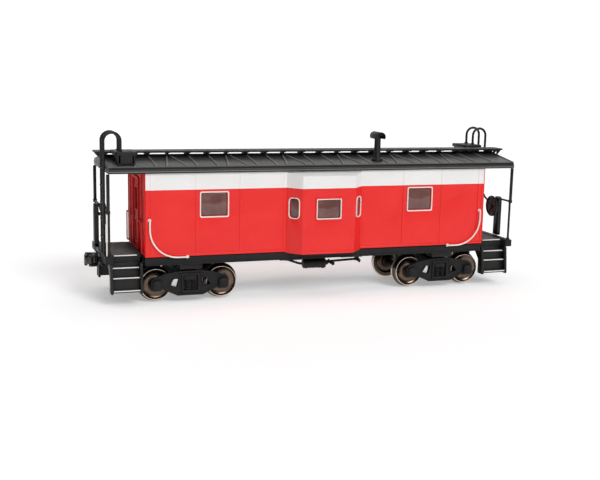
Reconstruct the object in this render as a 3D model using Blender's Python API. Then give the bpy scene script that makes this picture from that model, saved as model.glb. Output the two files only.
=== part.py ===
"""Model bay-window caboose, 1:87 proportions, +X along the car, +Z up.

The origin lies midway between the trucks on the plane that the wheel flanges
stand on.  The two ends are alike under a half turn about Z.
"""

import math

import bmesh
import bpy
from mathutils import Matrix, Vector

MM = 0.001

# ---------------------------------------------------------------- dimensions
# All in millimetres.  Heights are above the flange tips; the rail head would
# lie FLANGE above that plane.
GAP = 0.15

FLANGE = 0.64
TREAD_R = 4.82
WHEELBASE = 20.26
TRUCK_X = 41.92
BACK_TO_BACK = 14.54
WHEEL_WIDTH = 2.78
AXLE_Z = FLANGE + TREAD_R

BODY_HX = 55.9
BODY_HY = 13.8
BODY_WALL = 1.1
BODY_Z0 = 14.49
BODY_Z1 = 40.0
PANEL = 13.5

BAY_BASE = 12.45
BAY_FRONT = 8.58
BAY_OUT = 4.06
BAY_Z0 = 14.1
BAY_Z1 = 38.1

WIN_Z = 29.8
WIN_W = 9.05
WIN_H = 7.95
WIN_LEFT_X = -35.1
WIN_RIGHT_X = 32.65
FRAME = 0.55

ROOF_HX = 66.5
ROOF_HY = 14.05
ROOF_EAVE_Z = 41.24
ROOF_RIDGE_Z = 43.3
FASCIA_HY = 14.4
FASCIA_Z = 39.29
ROOF_PITCH = 6.17

WALK_HX = 68.5
WALK_HY = 3.3
WALK_TOP = 44.84
WALK_T = 0.55
CROSS_TOP = 45.5
CROSS_T = 1.1

FLOOR_Z = 15.0
FLOOR_HY = 11.15
SILL_HX = 67.5
SILL_HY = 13.9
SILL_TOP = 15.2
SILL_BOTTOM = 12.95

RAIL_X = 66.45
POST_Y = 13.3
RAIL_Z = 28.1
LADDER_X = 67.35
LADDER_Y = (6.8, 11.3)
HOOP_IN_X = 62.45
HOOP_TOP = 51.0
RUNG_Z0 = 20.3
RUNG_STEP = 5.07

STEP_NOSES = ((12.2, 11.5), (13.1, 8.6), (14.2, 4.95))

JACK_X = 19.0
JACK_Y = -9.8

BRAKE_Y = 3.7
BRAKE_Z = 25.3
BRAKE_R = 3.55
BRAKE_RIM = 0.42
BRAKE_WHEEL_X = 65.15
STAND_X = (66.92, 68.25)

COUPLER_PIVOT_X = 61.5
COUPLER_Z = 11.85
SHANK_HALF = 0.6
HEAD_Z = (10.3, 13.7)
KNUCKLE_X = 69.9
KNUCKLE_Y = 2.0
LID_TOP = COUPLER_Z - SHANK_HALF - 0.3

# ------------------------------------------------------------------- helpers
for stale in list(bpy.data.objects):
    bpy.data.objects.remove(stale, do_unlink=True)


def material(name, colour, roughness, metallic=0.0):
    mat = bpy.data.materials.new(name)
    mat.use_nodes = True
    shader = mat.node_tree.nodes["Principled BSDF"]
    shader.inputs["Base Color"].default_value = (*colour, 1.0)
    shader.inputs["Roughness"].default_value = roughness
    shader.inputs["Metallic"].default_value = metallic
    mat.diffuse_color = (*colour, 1.0)
    return mat


RED = material("red_body_plastic", (0.66, 0.035, 0.03), 0.35)
WHITE = material("white_paint", (0.85, 0.83, 0.80), 0.4)
BLACK = material("black_plastic", (0.020, 0.020, 0.019), 0.42)
ROOF = material("roof_plastic", (0.035, 0.035, 0.034), 0.5)
SMOKED = material("smoked_glazing", (0.13, 0.07, 0.055), 0.12)
WHEEL = material("wheel_metal", (0.36, 0.24, 0.18), 0.28, 1.0)
STEEL = material("plated_steel", (0.42, 0.41, 0.39), 0.35, 1.0)


def scratch(bm):
    """A hidden helper object from a bmesh in millimetres."""
    bmesh.ops.recalc_face_normals(bm, faces=bm.faces)
    mesh = bpy.data.meshes.new("helper")
    bm.to_mesh(mesh)
    bm.free()
    obj = bpy.data.objects.new("helper", mesh)
    obj.hide_render = True
    obj.display_type = "WIRE"
    bpy.context.scene.collection.objects.link(obj)
    return obj


def box(x0, x1, y0, y1, z0, z1):
    bm = bmesh.new()
    bmesh.ops.create_cube(bm, size=1.0)
    for v in bm.verts:
        v.co = Vector((
            x0 + (v.co.x + 0.5) * (x1 - x0),
            y0 + (v.co.y + 0.5) * (y1 - y0),
            z0 + (v.co.z + 0.5) * (z1 - z0),
        ))
    return scratch(bm)


AXES = {
    "x": lambda a, b, t: Vector((t, a, b)),
    "y": lambda a, b, t: Vector((a, t, b)),
    "z": lambda a, b, t: Vector((a, b, t)),
}


def prism(outline, axis, t0, t1):
    """A closed outline swept along an axis: (y,z) on x, (x,z) on y, (x,y) on z."""
    place = AXES[axis]
    bm = bmesh.new()
    low = [bm.verts.new(place(a, b, t0)) for a, b in outline]
    high = [bm.verts.new(place(a, b, t1)) for a, b in outline]
    bm.faces.new(low)
    bm.faces.new(high[::-1])
    for i, v in enumerate(low):
        j = (i + 1) % len(low)
        bm.faces.new((v, high[i], high[j], low[j]))
    return scratch(bm)


def rod(p0, p1, r, n=8, r2=None):
    a, b = Vector(p0), Vector(p1)
    turn = (b - a).to_track_quat("Z", "Y").to_matrix().to_4x4()
    bm = bmesh.new()
    bmesh.ops.create_cone(
        bm, cap_ends=True, segments=n, radius1=r, radius2=r if r2 is None else r2,
        depth=(b - a).length, matrix=Matrix.Translation((a + b) / 2) @ turn,
    )
    return scratch(bm)


def tube(path, r, n=8):
    """A round bar bent along a path, mitred at each corner."""
    pts = [Vector(p) for p in path]
    bm = bmesh.new()
    rings = []
    side = None
    for i, p in enumerate(pts):
        before = (p - pts[i - 1]).normalized() if i else None
        after = (pts[i + 1] - p).normalized() if i < len(pts) - 1 else None
        along = before if after is None else after if before is None else before + after
        along = along.normalized()
        if side is None:
            side = along.orthogonal().normalized()
        ref = before if before is not None else along
        side = (side - ref * side.dot(ref)).normalized()
        up = ref.cross(side)
        ring = []
        for k in range(n):
            turn = 2 * math.pi * (k + 0.5) / n
            q = side * (r * math.cos(turn)) + up * (r * math.sin(turn))
            q = q - ref * (q.dot(along) / ref.dot(along))
            ring.append(bm.verts.new(p + q))
        rings.append(ring)
    for one, two in zip(rings, rings[1:]):
        for k in range(n):
            m = (k + 1) % n
            bm.faces.new((one[k], one[m], two[m], two[k]))
    bm.faces.new(rings[0][::-1])
    bm.faces.new(rings[-1])
    return scratch(bm)


def turned(profile, n):
    """A solid of revolution about the Y axis from (y, radius) pairs."""
    bm = bmesh.new()
    rings = []
    for y, r in profile:
        if r < 1e-6:
            rings.append([bm.verts.new((0.0, y, 0.0))])
            continue
        rings.append([
            bm.verts.new((
                r * math.cos(2 * math.pi * (k + 0.5) / n), y,
                r * math.sin(2 * math.pi * (k + 0.5) / n),
            ))
            for k in range(n)
        ])
    for one, two in zip(rings, rings[1:]):
        for k in range(n):
            m = (k + 1) % n
            if len(one) == 1:
                bm.faces.new((one[0], two[m], two[k]))
            elif len(two) == 1:
                bm.faces.new((one[k], one[m], two[0]))
            else:
                bm.faces.new((one[k], one[m], two[m], two[k]))
    return scratch(bm)


def rounded(cx, cz, w, h, r, n=3):
    """A rectangle with round corners, as (a, b) pairs."""
    out = []
    for sx, sz, start in ((1, 1, 0), (-1, 1, 90), (-1, -1, 180), (1, -1, 270)):
        for k in range(n + 1):
            a = math.radians(start + 90 * k / n)
            out.append((cx + sx * (w / 2 - r) + r * math.cos(a),
                        cz + sz * (h / 2 - r) + r * math.sin(a)))
    return out


def combine(base, others, operation):
    if not others:
        return base
    group = bpy.data.collections.new("helpers")
    for other in others:
        group.objects.link(other)
    mod = base.modifiers.new("shape", "BOOLEAN")
    mod.operation = operation
    mod.operand_type = "COLLECTION"
    mod.collection = group
    mod.solver = "EXACT"
    mod.use_self = operation == "UNION"
    bpy.context.view_layer.update()
    graph = bpy.context.evaluated_depsgraph_get()
    mesh = bpy.data.meshes.new_from_object(base.evaluated_get(graph))
    base.modifiers.clear()
    base.data = mesh
    for other in others:
        bpy.data.objects.remove(other, do_unlink=True)
    bpy.data.collections.remove(group)
    return base


def piece(name, mat, add, cut=(), origin=(0.0, 0.0, 0.0), smooth=30, parent=None, half_turn=False):
    """One named solid: the union of `add` less `cut`, with its origin at `origin`."""
    add = list(add)
    obj = combine(add[0], add[1:], "UNION")
    obj = combine(obj, list(cut), "DIFFERENCE")
    mesh = obj.data
    centre = Vector(origin)
    if half_turn:
        mesh.transform(Matrix.Rotation(math.pi, 4, "Z"))
        centre = Vector((-centre.x, -centre.y, centre.z))
    mesh.transform(Matrix.Scale(MM, 4) @ Matrix.Translation(-centre))
    mesh.materials.clear()
    mesh.materials.append(mat)
    mesh.shade_smooth()
    mesh.set_sharp_from_angle(angle=math.radians(smooth))
    mesh.name = name
    obj.name = name
    obj.hide_render = False
    obj.display_type = "TEXTURED"
    obj.location = centre * MM
    if parent is not None:
        obj.parent = parent
        obj.matrix_parent_inverse = parent.matrix_world.inverted()
    return obj


def pivot(name, location):
    empty = bpy.data.objects.new(name, None)
    empty.empty_display_size = 0.004
    empty.location = Vector(location) * MM
    bpy.context.scene.collection.objects.link(empty)
    bpy.context.view_layer.update()
    return empty


def roof_z(y):
    return ROOF_RIDGE_Z - (ROOF_RIDGE_Z - ROOF_EAVE_Z) * abs(y) / ROOF_HY


def slant_point(along, out):
    """A point on the near left bay slant: `along` it from the wall, `out` of it."""
    dx, dy = BAY_BASE - BAY_FRONT, -BAY_OUT
    length = math.hypot(dx, dy)
    ux, uy = dx / length, dy / length
    nx, ny = uy, -ux
    return (-BAY_BASE + ux * along + nx * out, -BODY_HY + uy * along + ny * out)


SLANT_LEN = math.hypot(BAY_BASE - BAY_FRONT, BAY_OUT)


# ---------------------------------------------------------------- body shell
def bay_solid(inset, z0, z1, drop):
    """The bay as a closed solid behind its outline, front top at z1, back at z1+drop."""
    b, f = BAY_BASE - inset * 0.45, BAY_FRONT - inset * 0.45
    y_in = -(BODY_HY - 0.3) if inset == 0 else -(BODY_HY - 3.0)
    y_out = -(BODY_HY + BAY_OUT - inset)
    y_wall = -BODY_HY
    low = [(-b, y_in), (-b, y_wall), (-f, y_out), (f, y_out), (b, y_wall), (b, y_in)]
    bm = bmesh.new()
    bottom = [bm.verts.new((x, y, z0)) for x, y in low]
    top = []
    for x, y in low:
        share = min(1.0, max(0.0, (y - y_out) / (y_wall - y_out)))
        top.append(bm.verts.new((x, y, z1 + drop * share)))
    bm.faces.new(bottom[::-1])
    for i in range(6):
        j = (i + 1) % 6
        bm.faces.new((bottom[i], bottom[j], top[j], top[i]))
    bm.faces.new((top[0], top[1], top[4], top[5]))
    bm.faces.new((top[1], top[2], top[3], top[4]))
    return scratch(bm)


def mirrored(obj):
    """The same helper turned half round Z, for the far side."""
    obj.data.transform(Matrix.Rotation(math.pi, 4, "Z"))
    return obj


def slant_prism(w, h, r, cz, out0, out1, side):
    """A rounded window outline on a bay slant, swept square to the slant."""
    outline = rounded(SLANT_LEN * 0.485, cz, w, h, r)
    bm = bmesh.new()
    layers = []
    for out in (out0, out1):
        ring = []
        for a, z in outline:
            x, y = slant_point(a, out)
            ring.append(bm.verts.new((side * -x if side > 0 else x, y, z)))
        layers.append(ring)
    n = len(outline)
    bm.faces.new(layers[0])
    bm.faces.new(layers[1][::-1])
    for i in range(n):
        j = (i + 1) % n
        bm.faces.new((layers[0][i], layers[1][i], layers[1][j], layers[0][j]))
    return scratch(bm)


def body_shell():
    add = [box(-BODY_HX, BODY_HX, -BODY_HY, BODY_HY, BODY_Z0, BODY_Z1)]
    cut = [box(-BODY_HX + BODY_WALL, BODY_HX - BODY_WALL, -BODY_HY + BODY_WALL,
               BODY_HY - BODY_WALL, BODY_Z0 - 2, BODY_Z1 + 2)]
    for far in (False, True):
        turn = mirrored if far else (lambda o: o)
        y = -BODY_HY
        add.append(turn(bay_solid(0.0, BAY_Z0, BAY_Z1, 0.95)))
        cut.append(turn(bay_solid(1.0, BAY_Z0 + 0.9, BAY_Z1 - 1.0, 0.5)))
        # panel battens, lip along the foot, window surrounds
        for k in (2, 3, 4):
            for s in (-1, 1):
                x = s * PANEL * k
                add.append(turn(box(x - 0.3, x + 0.3, y - 0.14, y + 0.5, BODY_Z0 + 0.3, 39.0)))
        for x0, x1 in ((-BODY_HX, -BAY_BASE + 0.2), (BAY_BASE - 0.2, BODY_HX)):
            add.append(turn(box(x0, x1, y - 0.22, y + 0.5, BODY_Z0, BODY_Z0 + 0.75)))
        for cx in (WIN_LEFT_X, WIN_RIGHT_X):
            add.append(turn(prism(rounded(cx, WIN_Z, WIN_W, WIN_H, 0.6, 2), "y", y - 0.3, y + 0.5)))
            cut.append(turn(prism(
                rounded(cx, WIN_Z, WIN_W - 2 * FRAME, WIN_H - 2 * FRAME, 0.5, 2),
                "y", y - 2, y + 3)))
        yb = -(BODY_HY + BAY_OUT)
        add.append(turn(prism(rounded(0.0, 27.95, 8.9, 7.5, 0.25, 1), "y", yb - 0.25, yb + 0.5)))
        cut.append(turn(prism(rounded(0.0, 28.0, 7.6, 5.75, 0.25, 1), "y", yb - 2, yb + 3)))
        for side in (-1, 1):
            add.append(turn(slant_prism(4.1, 6.8, 1.0, 28.2, -0.5, 0.25, side)))
            cut.append(turn(slant_prism(3.1, 5.8, 0.8, 28.2, -2.2, 1.5, side)))
        add.append(turn(box(-BAY_FRONT + 0.1, BAY_FRONT - 0.1, yb - 0.2, yb + 0.5, BAY_Z0, BAY_Z0 + 0.75)))
        # end wall on this side of the half turn: door surround, corner beads
        for yy in (-BODY_HY + 0.35, BODY_HY - 0.35):
            add.append(turn(box(-BODY_HX - 0.18, -BODY_HX + 0.5, yy - 0.35, yy + 0.35,
                                FLOOR_Z + 0.25, 39.0)))
        add.append(turn(box(-BODY_HX - 0.5, -BODY_HX + 0.5, -4.8, 4.8, FLOOR_Z + 0.25, 37.3)))
        cut.append(turn(box(-BODY_HX - 2, -BODY_HX + 3, -4.0, 4.0, FLOOR_Z + 0.55, 36.5)))
        for s in (-1, 1):
            add.append(turn(box(-BODY_HX - 0.3, -BODY_HX + 0.5, s * 9.2 - 0.25, s * 9.2 + 0.25,
                                FLOOR_Z + 0.25, 39.0)))
    return piece("body_shell", RED, add, cut)


body_shell()


# ------------------------------------------------------------ doors, glazing
def end_door(name, half_turn):
    x = -BODY_HX
    add = [box(x + 0.1, x + 0.9, -3.85, 3.85, FLOOR_Z + 0.7, 36.35)]
    add.append(box(x - 0.1, x + 0.5, -2.7, 2.7, 26.2, 34.6))
    add.append(box(x - 0.1, x + 0.5, -2.7, 2.7, 17.0, 24.2))
    add.append(rod((x + 0.3, 3.2, 24.9), (x - 0.45, 3.2, 24.9), 0.28, 8))
    cut = [prism(rounded(0.0, 30.4, 4.2, 7.0, 0.5, 2), "x", x - 2, x + 2)]
    cut.append(box(x - 1, x + 0.15, -2.1, 2.1, 17.6, 23.6))
    return piece(name, RED, add, cut, half_turn=half_turn)


def door_pane(name, half_turn):
    x = -BODY_HX
    add = [box(x + 1.05, x + 1.5, -2.7, 2.7, 26.3, 34.5)]
    add.append(box(x + 0.4, x + 1.3, -1.95, 1.95, 27.05, 33.75))
    return piece(name, SMOKED, add, half_turn=half_turn)


def wall_pane(name, cx, half_turn):
    y = -BODY_HY
    add = [prism(rounded(cx, WIN_Z, WIN_W - 2 * FRAME - 0.3, WIN_H - 2 * FRAME - 0.3, 0.4, 2),
                 "y", y + 0.1, y + 1.5)]
    add.append(box(cx - 4.6, cx + 4.6, y + BODY_WALL + GAP, y + BODY_WALL + 0.65,
                   WIN_Z - 4.1, WIN_Z + 4.1))
    return piece(name, SMOKED, add, half_turn=half_turn)


def bay_pane(name, half_turn):
    """A clear strip folded round the inside of the bay."""
    y0 = -(BODY_HY + BAY_OUT - 1.0 - GAP)
    y1 = y0 + 0.5
    dx = (BAY_BASE - BAY_FRONT) / BAY_OUT
    f0 = BAY_FRONT - 0.45 - 0.2
    outer = [(f0 + dx * 2.95, y0 + 2.95), (f0, y0), (-f0, y0), (-f0 - dx * 2.95, y0 + 2.95)]
    inner = [(-f0 - dx * 2.95 + 0.72, y0 + 2.95), (-f0 + 0.24, y1), (f0 - 0.24, y1),
             (f0 + dx * 2.95 - 0.72, y0 + 2.95)]
    add = [prism(outer + inner, "z", 23.9, 32.2)]
    add.append(prism(rounded(0.0, 28.0, 7.3, 5.45, 0.2, 1), "y", y0 - 0.8, y0 + 0.2))
    return piece(name, SMOKED, add, half_turn=half_turn)


for end, turned_round in (("left", False), ("right", True)):
    end_door("end_door_" + end, turned_round)
    door_pane("door_pane_" + end, turned_round)
for side_name, turned_round in (("near", False), ("far", True)):
    wall_pane("window_pane_" + side_name + "_a", WIN_LEFT_X, turned_round)
    wall_pane("window_pane_" + side_name + "_b", WIN_RIGHT_X, turned_round)
    bay_pane("bay_glazing_" + side_name, turned_round)


# ---------------------------------------------------------------------- roof
def roof():
    hy, lip = ROOF_HY, FASCIA_HY
    under = BODY_Z1 + GAP
    section = [
        (-lip, FASCIA_Z), (-13.95, FASCIA_Z), (-13.95, under), (13.95, under),
        (13.95, FASCIA_Z), (lip, FASCIA_Z), (lip, 40.35), (hy, 40.5),
        (hy, ROOF_EAVE_Z), (0.0, ROOF_RIDGE_Z), (-hy, ROOF_EAVE_Z),
        (-hy, 40.5), (-lip, 40.35),
    ]
    add = [prism(section, "x", -ROOF_HX, ROOF_HX)]
    for s in (-1, 1):
        add.append(box(min(s * 65.95, s * ROOF_HX), max(s * 65.95, s * ROOF_HX),
                       -14.1, 14.1, FASCIA_Z, under + 0.3))
    rise, w = 0.22, 0.26

    def rib(x_eave, x_ridge, side):
        """A raised seam from the eave to the ridge on one slope."""
        y0, y1 = side * (hy - 0.12), side * 0.5
        bm = bmesh.new()
        rows = []
        for x, y in ((x_eave, y0), (x_ridge, y1)):
            z = roof_z(y)
            rows.append([bm.verts.new((x - w, y, z - 0.3)), bm.verts.new((x + w, y, z - 0.3)),
                         bm.verts.new((x + w * 0.6, y, z + rise)), bm.verts.new((x - w * 0.6, y, z + rise))])
        bm.faces.new(rows[0])
        bm.faces.new(rows[1][::-1])
        for i in range(4):
            j = (i + 1) % 4
            bm.faces.new((rows[0][i], rows[1][i], rows[1][j], rows[0][j]))
        return scratch(bm)

    for side in (-1, 1):
        for k in (0.5, 2.5, 3.5, 5.5, 6.5, 8.5, 9.5):
            for s in (-1, 1):
                add.append(rib(s * k * ROOF_PITCH, s * k * ROOF_PITCH, side))
        for k in (1.5, 4.5, 7.5):
            for s in (-1, 1):
                for d in (-1, 1):
                    mid = s * k * ROOF_PITCH
                    add.append(rib(mid + d * 3.1, mid + d * 0.42, side))
    return piece("roof", ROOF, add, smooth=20)


roof()


def running_board():
    z1, z0 = WALK_TOP, WALK_TOP - WALK_T
    add = [box(-WALK_HX, WALK_HX, -WALK_HY, WALK_HY, z0, z1)]
    for k in range(-11, 11):
        x = (k + 0.5) * ROOF_PITCH
        if abs(x) < 65:
            add.append(box(x - 0.95, x + 0.95, -2.7, 2.7, ROOF_RIDGE_Z + GAP + 0.22, z0 + 0.2))
    for s in (-1, 1):
        add.append(prism([(s * 66.9, z0 + 0.1), (s * 68.2, z0 + 0.1), (s * 66.9, z0 - 1.6)],
                         "y", -2.6, 2.6))
    return piece("running_board", ROOF, add)


running_board()


def lateral_platform(name, half_turn):
    """The short cross walk beside the running board on the ladder's half of an end."""
    top = CROSS_TOP
    y_in, y_out = -(WALK_HY + GAP + 0.05), -12.7
    add = [box(-64.1, -57.7, y_out, y_in, top - CROSS_T, top)]
    for x in (-62.9, -58.9):
        zb = roof_z(12.2) + 0.45
        add.append(box(x - 0.35, x + 0.35, -12.6, -11.8, zb, top - 0.3))
        zb = roof_z(4.4) + 0.45
        add.append(box(x - 0.35, x + 0.35, -5.2, -4.4, zb, top - 0.3))
    return piece(name, ROOF, add, half_turn=half_turn)


def ladder(name, half_turn):
    r = 0.4
    add = []
    radius = (LADDER_X - HOOP_IN_X) / 2
    top = HOOP_TOP - radius
    for y in LADDER_Y:
        path = [(-LADDER_X, -y, SILL_TOP + GAP), (-LADDER_X, -y, top)]
        mid = -(LADDER_X + HOOP_IN_X) / 2
        for k in range(1, 8):
            a = math.pi - math.pi * k / 8
            path.append((mid + radius * math.cos(a), -y, top + radius * math.sin(a)))
        path.append((-HOOP_IN_X, -y, top))
        path.append((-HOOP_IN_X, -y, CROSS_TOP + GAP))
        add.append(tube(path, r, 6))
    for k in range(5):
        z = RUNG_Z0 + k * RUNG_STEP
        add.append(rod((-LADDER_X, -LADDER_Y[0] + 0.1, z), (-LADDER_X, -LADDER_Y[1] - 0.1, z), 0.24, 6))
    return piece(name, BLACK, add, half_turn=half_turn)


for end, turned_round in (("left", False), ("right", True)):
    lateral_platform("lateral_platform_" + end, turned_round)
    ladder("end_ladder_" + end, turned_round)


def smoke_jack():
    x, y = JACK_X, JACK_Y
    add = [rod((x, y, 41.0), (x, y, 49.3), 1.0, 16)]
    add.append(rod((x, y, 40.8), (x, y, roof_z(y) + 0.75), 1.75, 16))
    hood = [(x - 1.45, 48.35), (x + 1.45, 48.35)]
    arc = [(x + 1.45 * math.cos(a), 49.55 + 1.45 * math.sin(a))
           for a in (math.pi * k / 8 for k in range(9))]
    add.append(prism(hood + arc, "y", y - 2.95, y + 2.95))
    hollow = [(x - 1.1, 47.9), (x + 1.1, 47.9)]
    arc = [(x + 1.1 * math.cos(a), 49.55 + 1.1 * math.sin(a))
           for a in (math.pi * k / 8 for k in range(9))]
    cut = [prism(hollow + arc, "y", y - 5, y - 1.25), prism(hollow + arc, "y", y + 1.25, y + 5)]
    hip = [(y - 4, roof_z(y - 4) + 0.15), (y + 4, roof_z(y + 4) + 0.15), (y + 4, 38.0), (y - 4, 38.0)]
    cut.append(prism(hip, "x", x - 4, x + 4))
    return piece("smoke_jack", ROOF, add, cut, origin=(x, y, roof_z(y)))


smoke_jack()


# ---------------------------------------------------------------- underframe
def underframe():
    add = [box(-54.6, 54.6, -12.5, 12.5, 13.2, 14.85)]
    cut = []
    for s in (-1, 1):
        add.append(box(-55.9, 55.9, min(s * 11.9, s * 13.45), max(s * 11.9, s * 13.45), 11.85, 14.3))
        x0, x1 = sorted((s * 54.0, s * 66.0))
        add.append(box(x0, x1, -3.6, 3.6, 12.75, 14.3))
        x0, x1 = sorted((s * 56.15, s * 66.0))
        add.append(box(x0, x1, -FLOOR_HY, FLOOR_HY, SILL_BOTTOM, FLOOR_Z))
        x0, x1 = sorted((s * 54.0, s * 57.0))
        add.append(box(x0, x1, -FLOOR_HY, FLOOR_HY, SILL_BOTTOM, 14.3))
        x0, x1 = sorted((s * 65.2, s * SILL_HX))
        add.append(box(x0, x1, -SILL_HY, SILL_HY, SILL_BOTTOM, SILL_TOP))
        # the coupler head swings in this notch of the end sill
        x0, x1 = sorted((s * 66.9, s * 68.0))
        cut.append(box(x0, x1, -4.6, 4.6, 12.5, HEAD_Z[1] + GAP))
        # draft box walls, open below for the lid and in front for the shank
        x0, x1 = sorted((s * 58.8, s * 67.05))
        add.append(box(x0, x1, -3.5, 3.5, LID_TOP + GAP, 13.2))
        x0, x1 = sorted((s * 59.7, s * 69.0))
        cut.append(box(x0, x1, -2.75, 2.75, 8.0, COUPLER_Z + SHANK_HALF + GAP))
        # bolster and centre plate over each truck
        x0, x1 = sorted((s * (TRUCK_X - 3.0), s * (TRUCK_X + 3.0)))
        add.append(box(x0, x1, -12.2, 12.2, 12.2, 13.5))
        add.append(rod((s * TRUCK_X, 0, 10.6), (s * TRUCK_X, 0, 13.4), 3.4, 20))
        cut.append(rod((s * TRUCK_X, 0, 9.0), (s * TRUCK_X, 0, 12.9), 1.05, 12))
    # fish-belly centre sill between the bolsters and three cross bearers
    for s in (-1, 1):
        y0, y1 = sorted((s * 1.9, s * 2.7))
        add.append(prism([(-39.5, 13.4), (-38.5, 12.2), (-24, 10.8), (24, 10.8), (38.5, 12.2), (39.5, 13.4)],
                         "y", y0, y1))
    for x in (-24.0, 24.0):
        add.append(box(x - 0.5, x + 0.5, -12.0, 12.0, 11.9, 13.4))
    return piece("underframe", BLACK, add, cut)


underframe()
piece("ballast_weight", STEEL, [box(-47, 47, -10.5, 10.5, 15.0, 17.6)])


def step_well(name, sx, sy):
    """Side plates and a zigzag of treads and risers under one platform corner."""
    top = SILL_BOTTOM - GAP
    (y1, z1), (y2, z2), (y3, z3) = STEP_NOSES
    cheek = [(6.6, top), (13.35, top), (14.3, 3.9), (11.05, 3.9), (10.95, 8.6), (8.7, 11.0), (6.6, 11.7)]
    add = []
    for x0, x1 in ((56.65, 57.3), (65.3, 65.95)):
        a, b = sorted((sx * x0, sx * x1))
        add.append(prism([(sy * y, z) for y, z in cheek], "x", a, b))
    stair = [
        (10.9, top), (10.9, z1), (y1, z1), (y1, z1 - 0.6), (11.75, z1 - 0.7), (11.75, z2),
        (y2, z2), (y2, z2 - 0.6), (12.65, z2 - 0.7), (12.65, z3), (y3, z3), (y3, z3 - 0.65),
        (12.05, z3 - 0.65), (12.05, z2 - 0.75), (11.15, z2 - 0.65), (11.15, z1 - 0.75),
        (10.3, z1 - 0.65), (10.3, top),
    ]
    a, b = sorted((sx * 57.0, sx * 65.6))
    add.append(prism([(sy * y, z) for y, z in stair], "x", a, b))
    return piece(name, BLACK, add)


for end, sx in (("left", -1), ("right", 1)):
    for side_name, sy in (("near", -1), ("far", 1)):
        step_well("steps_" + end + "_" + side_name, sx, sy)


# ---------------------------------------------------------- end platform kit
def end_railing(name, half_turn):
    """Two corner posts, one top rail with a slack chain line over the gangway."""
    add = []
    for y in (-POST_Y, POST_Y):
        add.append(rod((-RAIL_X, y, 27.9), (-RAIL_X, y, FASCIA_Z - GAP), 0.5, 10))
        add.append(rod((-RAIL_X + 0.16, y, SILL_TOP + GAP), (-RAIL_X + 0.16, y, 28.4), 0.36, 8))
    path = [(-RAIL_X, -POST_Y, RAIL_Z), (-RAIL_X, -4.4, RAIL_Z)]
    for k in range(1, 8):
        t = k / 8
        path.append((-RAIL_X, -4.4 + 8.8 * t, RAIL_Z - 1.5 * 4 * t * (1 - t)))
    path += [(-RAIL_X, 4.4, RAIL_Z), (-RAIL_X, POST_Y, RAIL_Z)]
    add.append(tube(path, 0.32, 6))
    return piece(name, BLACK, add, half_turn=half_turn)


def corner_handrail(name, half_turn):
    x = -(RAIL_X + 0.48)
    return piece(name, WHITE, [rod((x, -POST_Y, SILL_BOTTOM + 2.4), (x, -POST_Y, 27.72), 0.2, 8)],
                 half_turn=half_turn)


def brake_stand(name, half_turn):
    """A tapered housing outside the rail, its shaft passing under it to the hand wheel."""
    y, (x1, x0) = BRAKE_Y, STAND_X
    add = [box(-x0, -x1, y - 1.4, y + 1.4, SILL_TOP + GAP, 27.4)]
    add.append(prism([(y - 1.4, 27.3), (y + 1.4, 27.3), (y + 0.9, 28.5), (y - 0.9, 28.5)],
                     "x", -x0, -x1))
    add.append(rod((-x1 - 0.3, y, BRAKE_Z), (-BRAKE_WHEEL_X - BRAKE_RIM - GAP, y, BRAKE_Z), 0.5, 10))
    return piece(name, BLACK, add, half_turn=half_turn)


def brake_wheel(name, half_turn):
    """A thick rim, a thin dished web and a hub, facing the end wall."""
    x, y, z, rim = -BRAKE_WHEEL_X, BRAKE_Y, BRAKE_Z, BRAKE_R - BRAKE_RIM
    n = 18
    bm = bmesh.new()
    rows = []
    for k in range(n):
        a = 2 * math.pi * k / n
        out = Vector((0.0, math.cos(a), math.sin(a)))
        p = Vector((x, y, z)) + out * rim
        rows.append([bm.verts.new(p + out * BRAKE_RIM * math.cos(b) + Vector((BRAKE_RIM * math.sin(b), 0, 0)))
                     for b in (2 * math.pi * (m + 0.5) / 6 for m in range(6))])
    for k in range(n):
        one, two = rows[k], rows[(k + 1) % n]
        for m in range(6):
            q = (m + 1) % 6
            bm.faces.new((one[m], two[m], two[q], one[q]))
    add = [scratch(bm)]
    add.append(rod((x - 0.12, y, z), (x + 0.12, y, z), rim, n))
    add.append(rod((x - BRAKE_RIM, y, z), (x + 0.5, y, z), 0.75, 10))
    return piece(name, BLACK, add, origin=(x, y, z), half_turn=half_turn)


for end, turned_round in (("left", False), ("right", True)):
    end_railing("end_railing_" + end, turned_round)
    corner_handrail("corner_handrail_" + end, turned_round)
    brake_stand("brake_stand_" + end, turned_round)
    brake_wheel("brake_wheel_" + end, turned_round)


# --------------------------------------------------------------- grab irons
def side_grab(name, sx, sy):
    """A bar that drops beside the corner and sweeps in along the foot of the wall."""
    out = BODY_HY + 0.75
    r_bend, x0, z0, z1 = 8.4, 54.6, 25.5, 14.35
    path = [(x0, BODY_HY + GAP, z0), (x0, out, z0), (x0, out, z1 + r_bend)]
    for k in range(1, 7):
        a = math.pi / 2 * k / 6
        path.append((x0 - r_bend + r_bend * math.cos(a), out, z1 + r_bend - r_bend * math.sin(a)))
    path += [(43.3, out, z1), (43.3, BODY_HY + 0.22 + GAP, z1)]
    path = [(sx * x, sy * y, z) for x, y, z in path]
    return piece(name, WHITE, [tube(path, 0.24, 8)])


def end_grab(name, sx, sy):
    """An L of wire on the end wall, from the doorway edge to the corner and down."""
    x = BODY_HX + 0.18 + GAP + 0.45
    foot = BODY_HX + GAP
    path = [(foot, 6.0, 24.6), (x, 6.0, 24.6), (x, 12.5, 24.9), (x, 12.5, 15.6), (foot, 12.5, 15.6)]
    path = [(sx * a, sy * b, c) for a, b, c in path]
    return piece(name, RED, [tube(path, 0.2, 8)])


for end, sx in (("left", -1), ("right", 1)):
    for side_name, sy in (("near", -1), ("far", 1)):
        side_grab("side_grab_" + end + "_" + side_name, sx, sy)
        end_grab("end_grab_" + end + "_" + side_name, sx, sy)


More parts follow.
